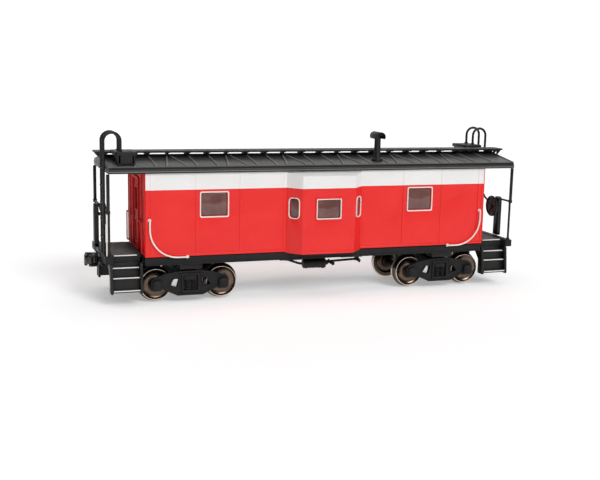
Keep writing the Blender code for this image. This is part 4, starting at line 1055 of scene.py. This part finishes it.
def brake_stand(end, turn):
    """A tapered gear housing outside the rail and the dished hand wheel inside it."""
    bm, y, z = new(), 3.7, 25.3
    x1, x0 = -68.25, -66.92
    box(bm, x1, x0, y - 1.4, y + 1.4, 15.4, 27.4, 0.16)
    prism(bm, [(y - 1.4, 27.3), (y + 1.4, 27.3), (y + 0.9, 28.5), (y - 0.9, 28.5)], "x", x1, x0, 0.18)
    box(bm, x1, x0, y - 1.4, y + 1.4, 15.36, 16.3, 0.1)
    for d in (-1.15, 1.15):
        for x in (x1 + 0.02, x0 - 0.02):
            box(bm, x - 0.02, x + 0.02, y + d - 0.16, y + d + 0.16, 16.2, 27.1, 0.01)
    for zz in (17.2, 20.6, 24.0, 27.0):
        for d in (-0.75, 0.75):
            rivet(bm, (x0 - 0.08, y + d, zz), (1, 0, 0), 0.18, 0.14)
    rod(bm, (x0 - 0.2, y, z), (-65.75, y, z), 0.5, 18)
    turned(bm, (x0 - 0.05, y, z), (-60, y, z), [(0, 1.0), (0.12, 0.98), (0.2, 0.8), (0.3, 0.5)], 20)
    piece(bm, "brake_pedestal_" + end, BLACK, "brake_stand_" + end, turn)
    bm, x, r = new(), -65.15, 0.42
    rings = []
    for k in range(48):
        a = TAU * k / 48
        out = Vector((0, cos(a), sin(a)))
        c = Vector((x, y, z)) + out * (3.55 - r)
        rings.append([c + out * (r * cos(b)) + Vector((r * sin(b), 0, 0))
            for b in [TAU * m / 12 for m in range(12)]])
    loft(bm, rings + rings[:1], 0, 0, False)
    bmesh.ops.remove_doubles(bm, verts=bm.verts, dist=1e-4)
    turned(bm, (x, y, z), (x + 1, y, z), [(-0.1, 0.6), (-0.1, 1.2), (-0.02, 2.1), (-0.1, 3.1), (0.1, 3.1),
        (0.18, 2.1), (0.1, 1.2), (0.1, 0.6)], 36)
    for k in range(5):
        a = pi / 2 + TAU / 5 * k
        out = Vector((0, cos(a), sin(a)))
        c = Vector((x, y, z))
        tube(bm, [c + out * 0.4, c + out * 1.6 + Vector((0.08, 0, 0)), c + out * 3.1], 0.22, 10)
    turned(bm, (x - r, y, z), (x + 3, y, z), [(0, 0.6), (0.06, 0.75), (0.7, 0.75), (0.78, 0.6), (0.78, 0.42),
        (0.9, 0.34), (0.91, 0.0)], 20)
    piece(bm, "hand_brake_wheel_" + end, BLACK, "brake_wheel_" + end, turn, origin=(x, y, z))


for end, turn in ENDS:
    railing(end, turn)
    ladder(end, turn)
    brake_stand(end, turn)


def grabs(end, side, turn):
    """The swept grab iron of one side corner and the angular one on the end wall."""
    tag = end + "_" + side
    bm, out, r = new(), -14.55, 8.4
    x0, x1, low, high = -54.6, -43.3, 14.35, 25.5
    path = [(x0, -13.9, high), (x0, out, high), (x0, out, low + r)]
    for k in range(1, 16):
        a = pi / 2 * k / 16
        path.append((x0 + r - r * cos(a), out, low + r - r * sin(a)))
    path += [(x0 + r, out, low), (x1, out, low), (x1, -14.15, low)]
    wire = bend(path[:3], 0.4, 4)[:-1] + path[2:-2] + bend(path[-3:], 0.4, 4)[1:]
    tube(bm, wire, 0.24, 12)
    for p in ((x0, -13.8, high), (x1, -14.03, low)):
        turned(bm, p, (p[0], p[1] - 2, p[2]), [(0, 0.5), (0.16, 0.5), (0.24, 0.42), (0.3, 0.26)], 16)
    piece(bm, "sweep_grab_" + tag, WIRE_WHITE, "side_grab_" + tag, turn)
    bm, x, foot = new(), -56.68, -56.05
    (y0, z0), (y1, z1) = feet = ((-6.0, 24.6), (-12.5, 15.6))
    tube(bm, bend([(foot, y0, z0), (x, y0, z0), (x, y1, 24.9), (x, y1, z1), (foot, y1, z1)], 0.45, 4), 0.2,
        12)
    for y, z in feet:
        turned(bm, (foot + 0.1, y, z), (foot - 2, y, z), [(0, 0.42), (0.2, 0.42), (0.28, 0.3)], 14)
    piece(bm, "wall_grab_" + tag, END_RED, "end_grab_" + tag, turn)


for end, side, turn in CORNERS:
    grabs(end, side, turn)


# ---- brake rigging
def rigging():
    """Brake cylinder, air tank, and the rod and levers between them."""
    bm, y, z = new(), -8.0, 9.3
    turned(bm, (-4.7, y, z), (9, y, z), [(0, 0.8), (0.1, 1.3), (0.3, 1.5), (0.55, 1.55), (6.3, 1.55),
        (6.35, 1.78), (7.1, 1.8), (7.3, 1.72), (7.4, 1.0), (8.6, 0.6), (8.7, 0.35)], 32)
    for k in range(8):
        a = TAU * k / 8
        hexnut(bm, (2.2, y + 1.6 * cos(a), z + 1.6 * sin(a)), (1, 0, 0), 0.18, 0.5)
    for x in (-3.9, 0.2):
        box(bm, x, x + 0.9, y - 0.6, y + 0.6, z + 1.0, 13.05, 0.1)
        turned(bm, (x + 0.2, y, z), (x + 3, y, z), [(0, 1.55), (0, 1.64), (0.5, 1.64), (0.5, 1.55)], 32)
    piece(bm, "air_cylinder", CHASSIS, "brake_cylinder")
    bm, y, z = new(), 7.6, 9.6
    turned(bm, (-7.7, y, z), (9, y, z), [(0, 0.9), (0.08, 1.5), (0.3, 2.05), (0.6, 2.28), (0.9, 2.3),
        (13.5, 2.3), (13.8, 2.28), (14.05, 2.05), (14.2, 1.5), (14.3, 0.9)], 36)
    for x in (-5.0, 4.0):
        turned(bm, (x - 0.35, y, z), (x + 3, y, z), [(0, 2.28), (0, 2.4), (0.7, 2.4), (0.7, 2.28)], 36)
        box(bm, x - 0.5, x + 0.5, y - 1.8, y + 1.8, z + 1.5, 13.05, 0.1)
        hexnut(bm, (x, y - 2.1, 12.2), (0, -1, 0), 0.3, 0.2)
    for s, x in ((-1, -7.7), (1, 6.6)):
        rod(bm, (x - s * 0.2, y, z), (x + s * 0.35, y, z), 0.34, 12)
    piece(bm, "air_tank", CHASSIS, "air_reservoir")
    bm, y = new(), -5.0
    tube(bm, bend([(-14.5, y, 12.3), (-4.5, y, 8.6), (15.5, y, 9.4)], 1.2, 4), 0.38, 12)
    for x0, x1, y0, y1, z0, z1 in ((4.9, 5.8, -9.2, -4.4, 8.6, 9.4), (7.7, 15.2, -9.5, -6.2, 10.9, 11.6),
            (8.3, 9.1, -8.2, -7.4, 11.3, 13.05), (13.9, 14.7, -8.2, -7.4, 11.3, 13.05),
            (14.3, 15.1, -8.5, -4.6, 9.1, 9.8), (14.3, 15.1, -7.0, -6.3, 9.3, 11.2),
            (-14.9, -14.1, -5.4, -4.6, 11.9, 13.05)):
        box(bm, x0, x1, y0, y1, z0, z1, 0.1)
    for x, yy, zz in ((5.35, -8.8, 9.4), (5.35, -4.9, 9.4), (14.7, -8.1, 9.8), (14.7, -4.9, 9.8)):
        turned(bm, (x, yy, zz - 1.0), (x, yy, zz + 2), [(0, 0.18), (0.03, 0.26), (0.22, 0.26), (0.25, 0.16),
            (1.1, 0.16), (1.12, 0.26), (1.3, 0.26), (1.33, 0.18)], 12)
    for x in (8.4, 11.4, 14.5):
        for yy in (-9.1, -6.6):
            rivet(bm, (x, yy, 10.9), (0, 0, -1), 0.2, 0.12)
    piece(bm, "brake_levers", CHASSIS, "brake_rigging")


rigging()


# ---- trucks
def side_frame():
    """One cast side frame, seen from -Y: bars, pocketed spring nest and journal boxes."""
    outline = [(-11.9, 4.3), (-11.9, 6.7), (-11.0, 7.7), (-7.6, 8.9), (-3.4, 9.6), (3.4, 9.6), (7.6, 8.9),
        (11.0, 7.7), (11.9, 6.7), (11.9, 4.3), (8.6, 4.3), (3.9, 2.1), (-3.9, 2.1), (-8.6, 4.3)]
    face, inner_y = facing("y", -11.9), -10.75
    plate, cuts, windows = new(), [], []
    prism(plate, outline, "y", inner_y, -11.95, 0)
    for d in (-1, 1):
        hole = [(d * 4.2, 4.7), (d * 3.5, 7.3), (d * 4.9, 7.5), (d * 6.3, 5.3)][::d]
        windows.append(hole)
        cuts.append(cutter(lambda b: prism(b, hole, "y", -9.0, -15.0, 0)))
    cuts.append(cutter(lambda b: box(b, -2.2, 2.2, -15.0, -11.35, 3.5, 8.3, 0)))
    bm = soften(carve(plate, cuts), 0.16, segments=3)
    collar(bm, outline, inset(outline, 0.5), face, 0.0, 0.3, 0.1)
    for hole in windows:
        collar(bm, inset(hole, -0.42), inset(hole, 0.02), face, 0.0, 0.26, 0.08)
    collar(bm, rounded(0, 5.9, 5.6, 5.9, 0.3, 2), rounded(0, 5.9, 4.4, 4.8, 0.2, 2), face, 0.0, 0.5, 0.1)
    box(bm, -1.95, 1.95, -10.9, -12.15, 6.75, 8.25, 0.12)
    box(bm, -1.6, 1.6, -12.1, -12.35, 7.1, 7.9, 0.08)
    for d in (-0.95, 0.95):
        helix = []
        for k in range(57):
            a = TAU * k / 14
            helix.append((d + 0.5 * cos(a), -11.62 + 0.5 * sin(a) - 0.15, 3.65 + 3.0 * k / 56))
        tube(bm, helix, 0.17, 6)
    box(bm, -2.0, 2.0, -11.2, -12.15, 3.4, 3.72, 0.06)
    for d in (-1, 1):
        cx = d * HALF_BASE
        prism(bm, rounded(cx, AXLE_Z, 2.9, 3.1, 0.75, 4), "y", inner_y, -12.95, 0.2)
        prism(bm, rounded(cx, AXLE_Z + 0.1, 2.4, 2.6, 0.7, 4), "y", -12.8, -13.2, 0.12)
        prism(bm, rounded(cx, AXLE_Z + 0.1, 1.6, 1.8, 0.5, 4), "y", -13.1, -13.33, 0.06)
        rod(bm, (cx - 0.95, -12.98, AXLE_Z + 1.36), (cx + 0.95, -12.98, AXLE_Z + 1.36), 0.2, 12)
        for e in (-1.05, 1.05):
            hexnut(bm, (cx + e, -12.9, AXLE_Z - 1.15), (0, -1, 0), 0.18, 0.14)
        hexnut(bm, (d * 3.3, -12.2, 8.75), (0, -1, 0), 0.32, 0.2)
        hexnut(bm, (d * 3.0, -12.2, 2.75), (0, -1, 0), 0.28, 0.2)
        # the conical pocket shows from inside as a ring round the axle end
        turned(bm, (d * HALF_BASE, -10.8, AXLE_Z), (d * HALF_BASE, -9, AXLE_Z),
            [(0.0, 1.4), (0.16, 1.34), (0.2, 1.1), (-0.4, 1.0)], 24)
    return bm


SIDE_FRAME = bpy.data.meshes.new("side_frame")
bm = side_frame()
bm.to_mesh(SIDE_FRAME)
bm.free()


def truck(end, s):
    """Two side frames, the bolster between them and its bored centre plate."""
    near = new()
    near.from_mesh(SIDE_FRAME)
    far = new()
    far.from_mesh(SIDE_FRAME)
    far.transform(HALF_TURN)
    bm = merge(near, far)
    prism(bm, [(-2.9, 7.6), (-2.6, 9.35), (2.6, 9.35), (2.9, 7.6)], "y", -10.95, 10.95, 0.14)
    turned(bm, (0, 0, 7.5), (0, 0, 11), [(0.0, 1.05), (0.0, 3.0), (1.8, 3.1), (2.75, 3.1), (2.9, 2.95),
        (2.9, 1.05)], 36)
    for y in (-7.6, 7.6):
        rod(bm, (0, y, 9.2), (0, y, 9.75), 1.0, 20)
        for x in (-1.9, 1.9):
            rivet(bm, (x, y, 9.35), (0, 0, 1), 0.24, 0.16)
    for y in (-4.6, 4.6):
        box(bm, -2.2, 2.2, y - 0.3, y + 0.3, 7.2, 7.7, 0.08)
    bm.transform(Matrix.Translation((s * TRUCK_X, 0, 0)))
    piece(bm, "bogie_" + end, CHASSIS, "truck_frame_" + end, body="truck_" + end,
        origin=(s * TRUCK_X, 0.0, 10.4))


# material 1 on the tread is painted shade, material 3 on the flange crest and rim edge painted highlight
WHEEL = [  # distance outwards from the car's middle, radius, material of the span that follows
    (6.92, 0.95, 2), (6.92, 1.68, 2), (7.0, 1.75, 2), (7.7, 1.86, 2), (7.92, 2.15, 0), (8.02, 3.5, 0),
    (7.85, 3.82, 0), (7.45, 3.98, 0), (7.29, 4.1, 0), (7.27, 4.6, 0), (7.30, 5.1, 3), (7.38, 5.34, 3),
    (7.52, 5.435, 3), (7.68, 5.46, 3), (7.84, 5.41, 3), (7.98, 5.24, 1), (8.08, 5.03, 1), (8.22, 4.9, 1),
    (8.45, 4.86, 1), (9.86, 4.79, 3), (9.98, 4.75, 3), (10.05, 4.66, 3), (10.05, 4.52, 0), (9.97, 4.43, 0),
    (9.78, 4.28, 0), (9.6, 4.02, 0), (9.45, 3.65, 0), (9.37, 3.2, 0), (9.37, 2.75, 0), (9.45, 2.35, 2),
    (9.6, 2.05, 2), (9.85, 1.82, 2), (10.18, 1.72, 2), (10.25, 1.64, 2), (10.25, 0.80, 2), (10.3, 0.74, 2),
    (11.6, 0.7, 2), (12.42, 0.03, 2), (12.45, 0.0, 2)]


def wheelset(tag, x):
    """An axle with pointed ends, thicker in the middle, and two wheels, as one lathe shape."""
    bm, tip = new(), WHEEL[-1][0]
    mirrored = zip(WHEEL[::-1], [m for _, _, m in WHEEL[-2::-1]] + [2])
    profile = [(tip - y, r, m) for (y, r, _), m in mirrored]
    profile += [(tip + y, r, 2) for y, r in ((-3.2, 0.95), (-3.0, 1.12), (3.0, 1.12), (3.2, 0.95))]
    profile += [(tip + y, r, m) for y, r, m in WHEEL]
    turned(bm, (x, -tip, AXLE_Z), (x, tip, AXLE_Z), profile, 72)
    piece(bm, "axle_and_wheels_" + tag, (WHEEL_FACE, WHEEL_TREAD, AXLE, WHEEL_EDGE), "wheelset_" + tag,
        body="wheels_" + tag, origin=(x, 0.0, AXLE_Z), crisp=50.0)


def truck_screw(end, x):
    """The slotted screw that a truck turns on."""
    head = new()
    turned(head, (x, 0, 6.3), (x, 0, 14), [(0, 1.2), (0.1, 1.55), (0.35, 1.75), (0.9, 1.75), (1.0, 1.65),
        (1.0, 0.85), (6.2, 0.85), (6.4, 0.6)], 32)
    slot_cut = cutter(lambda b: box(b, x - 2.2, x + 2.2, -0.2, 0.2, 5.8, 6.72, 0))
    bm = carve(head, [slot_cut])
    for f in bm.faces:
        f.smooth = True
    piece(bm, "pivot_screw_" + end, STEEL, "truck_screw_" + end)


for end, s in (("left", -1), ("right", 1)):
    truck(end, s)
    truck_screw(end, s * TRUCK_X)
    for tag, d in (("a", -1), ("b", 1)):
        wheelset(end + "_" + tag, s * TRUCK_X + d * HALF_BASE)


# ---- couplers
PIN_X, PIN_Y = 69.9, 2.0


def coupler(end, turn):
    """Shank with its head, the jaw on its pin, and the draft box cover with its post."""
    z0, z1, px = 11.25, 12.45, 61.5
    head_z0, head_z1 = 10.3, 13.7
    bm = new()
    box(bm, px + 1.2, 68.3, -1.0, 1.0, z0, z1, 0.14)
    turned(bm, (px, 0, z0), (px, 0, z1 + 3), [(0, 0.8), (0, 1.42), (0.08, 1.5), (1.12, 1.5), (1.2, 1.42),
        (1.2, 0.8), (0, 0.8)], 28)
    head = [(67.75, -1.6), (68.3, -2.8), (71.0, -3.3), (71.3, -2.5), (69.7, -1.9), (69.2, -0.6), (68.9, 0.6),
        (68.7, 1.6), (68.3, 1.9), (67.75, 1.4)]
    prism(bm, head, "z", head_z0, head_z1, 0.16, 0, 3)
    for a, b in ((head_z0, head_z0 + 0.65), (head_z1 - 0.65, head_z1)):
        prism(bm, [(68.2, -1.0), (68.2, 2.7), (69.4, 2.9), (70.6, 2.6), (70.7, 1.7), (69.4, 1.1),
            (69.0, -0.6)], "z", a, b, 0.1)
    piece(bm, "drawbar_" + end, BLACK, "coupler_" + end, turn, body="coupling_" + end,
        origin=(px, 0.0, (z0 + z1) / 2))
    bm = new()
    hook = [(69.35, 1.5), (69.4, 2.15), (69.6, 2.65), (69.95, 2.9), (70.4, 2.93), (71.0, 2.75), (71.4, 2.4),
        (71.68, 1.9), (71.78, 1.2), (71.8, -0.4), (71.6, -0.8), (71.2, -0.95), (70.85, -0.7), (70.75, -0.3),
        (70.85, 0.9), (70.7, 1.2), (70.35, 1.35), (69.8, 1.3)]
    prism(bm, hook, "z", 11.1, 12.9, 0.14, 0, 3)
    prism(bm, [(70.9, 1.0), (71.72, 1.45), (71.8, -0.4), (71.55, -0.8), (71.2, -0.95), (70.85, -0.65)], "z",
        10.4, 13.6, 0.14, 0, 3)
    rod(bm, (PIN_X, PIN_Y, 10.2), (PIN_X, PIN_Y, 13.8), 0.28, 14)
    piece(bm, "jaw_casting_" + end, STEEL, "knuckle_" + end, turn, body="jaw_" + end,
        origin=(PIN_X, PIN_Y, 12.0))
    bm = new()
    box(bm, 58.8, 67.05, -3.5, 3.5, 10.35, 10.95, 0.14)
    rod(bm, (px, 0, 10.6), (px, 0, 12.45), 0.62, 20)
    box(bm, 59.9, 66.9, -2.55, 2.55, 10.7, 11.1, 0.08)
    turned(bm, (64.6, 0, 10.15), (64.6, 0, 12), [(0.12, 0.0), (0.05, 0.9), (0.1, 1.05), (0.3, 1.05)], 24)
    box(bm, 63.75, 65.45, -0.13, 0.13, 10.12, 10.3, 0.03)
    piece(bm, "draft_cover_" + end, CHASSIS, "draft_lid_" + end, turn)


for end, turn in (("left", HALF_TURN), ("right", None)):
    coupler(end, turn)

bm = new()
box(bm, -47, 47, -10.5, 10.5, 15.0, 17.6, 0.3)
for x in (-40.0, 40.0):
    rod(bm, (x, 0, 17.4), (x, 0, 18.3), 1.5, 20)
piece(bm, "ballast_slab", LEAD, "ballast_weight")


# ---- floor and light
def stage_material(name, colour, emission=0.0):
    n = Nodes(name)
    haze = n.noise(6.0, 3.0, 0.5)
    pale = n.blend(n.spread(haze, 0.0, 1.0, 0.3, 0.7), rgb(*colour), rgb(*[c * 0.985 for c in colour]))
    n.put(n.shader.inputs["Base Color"], pale)
    n.set(Roughness=0.9, Specular_IOR_Level=0.1)
    if emission:
        n.set(Emission_Color=rgb(1, 1, 1), Emission_Strength=emission)
    return n.mat


def studio():
    """White floor and dome, a broad sun and three soft lamps."""
    bm = new()
    bmesh.ops.create_circle(bm, cap_ends=True, segments=96, radius=1250.0)
    floor = to_object(bm, "studio_floor", (stage_material("studio_floor_paper", (0.90, 0.90, 0.90), 0.34),))
    bm = new()
    bmesh.ops.create_uvsphere(bm, u_segments=48, v_segments=24, radius=6500.0)
    dome = to_object(bm, "studio_dome", (stage_material("studio_dome_white", (0.95, 0.95, 0.95), 1.0),))
    dome.visible_diffuse = dome.visible_glossy = dome.visible_transmission = dome.visible_shadow = False

    world = bpy.data.worlds.new("studio_air")
    bpy.context.scene.world = world
    world.use_nodes = True
    world.node_tree.nodes["Background"].inputs[0].default_value = (1.0, 1.0, 1.0, 1.0)
    world.node_tree.nodes["Background"].inputs[1].default_value = 0.12

    def area(name, at, to, size, power):
        light = bpy.data.lights.new(name, "AREA")
        light.shape, light.size, light.size_y = "RECTANGLE", size[0], size[1]
        light.energy = power
        obj = bpy.data.objects.new(name, light)
        bpy.context.scene.collection.objects.link(obj)
        obj.location = at
        obj.rotation_euler = (Vector(to) - Vector(at)).to_track_quat("-Z", "Y").to_euler()
        obj.visible_camera = False

    sun = bpy.data.lights.new("key_sun", "SUN")
    sun.energy, sun.angle = 1.55, radians(26)
    obj = bpy.data.objects.new("key_sun", sun)
    bpy.context.scene.collection.objects.link(obj)
    obj.rotation_euler = Vector((-0.22, 0.76, -0.62)).to_track_quat("-Z", "Y").to_euler()
    area("top_softbox", (0.0, 0.0, 1.3), (0.0, 0.0, 0.02), (1.6, 1.2), 6.0)
    area("back_softbox", (0.25, 1.3, 0.55), (0.0, 0.0, 0.03), (2.2, 0.9), 5.6)
    area("front_softbox", (-0.1, -1.2, 0.5), (0.0, 0.0, 0.03), (1.2, 0.7), 1.5)


studio()


def camera():
    """The long lens that sees the near side and the left end."""
    data = bpy.data.cameras.new("studio_camera")
    data.sensor_width, data.lens = 36.0, 59.36
    data.shift_x, data.shift_y = -0.0081, -0.002
    data.clip_start, data.clip_end = 0.01, 20.0
    obj = bpy.data.objects.new("studio_camera", data)
    bpy.context.scene.collection.objects.link(obj)
    yaw, pitch, roll = radians(19.99), radians(9.9), radians(1.31)
    ahead = Vector((sin(yaw) * cos(pitch), cos(yaw) * cos(pitch), -sin(pitch)))
    level = Vector((cos(yaw), -sin(yaw), 0.0))
    above = level.cross(ahead)
    right = level * cos(roll) + above * sin(roll)
    up = above * cos(roll) - level * sin(roll)
    turn = Matrix((right, up, -ahead)).transposed().to_4x4()
    obj.matrix_world = Matrix.Translation((-0.10936, -0.29734, 0.07094)) @ turn
    bpy.context.scene.camera = obj


camera()
bpy.context.scene.view_settings.view_transform = "Standard"
bpy.context.scene.view_settings.look = "None"

bpy.data.meshes.remove(SIDE_FRAME)
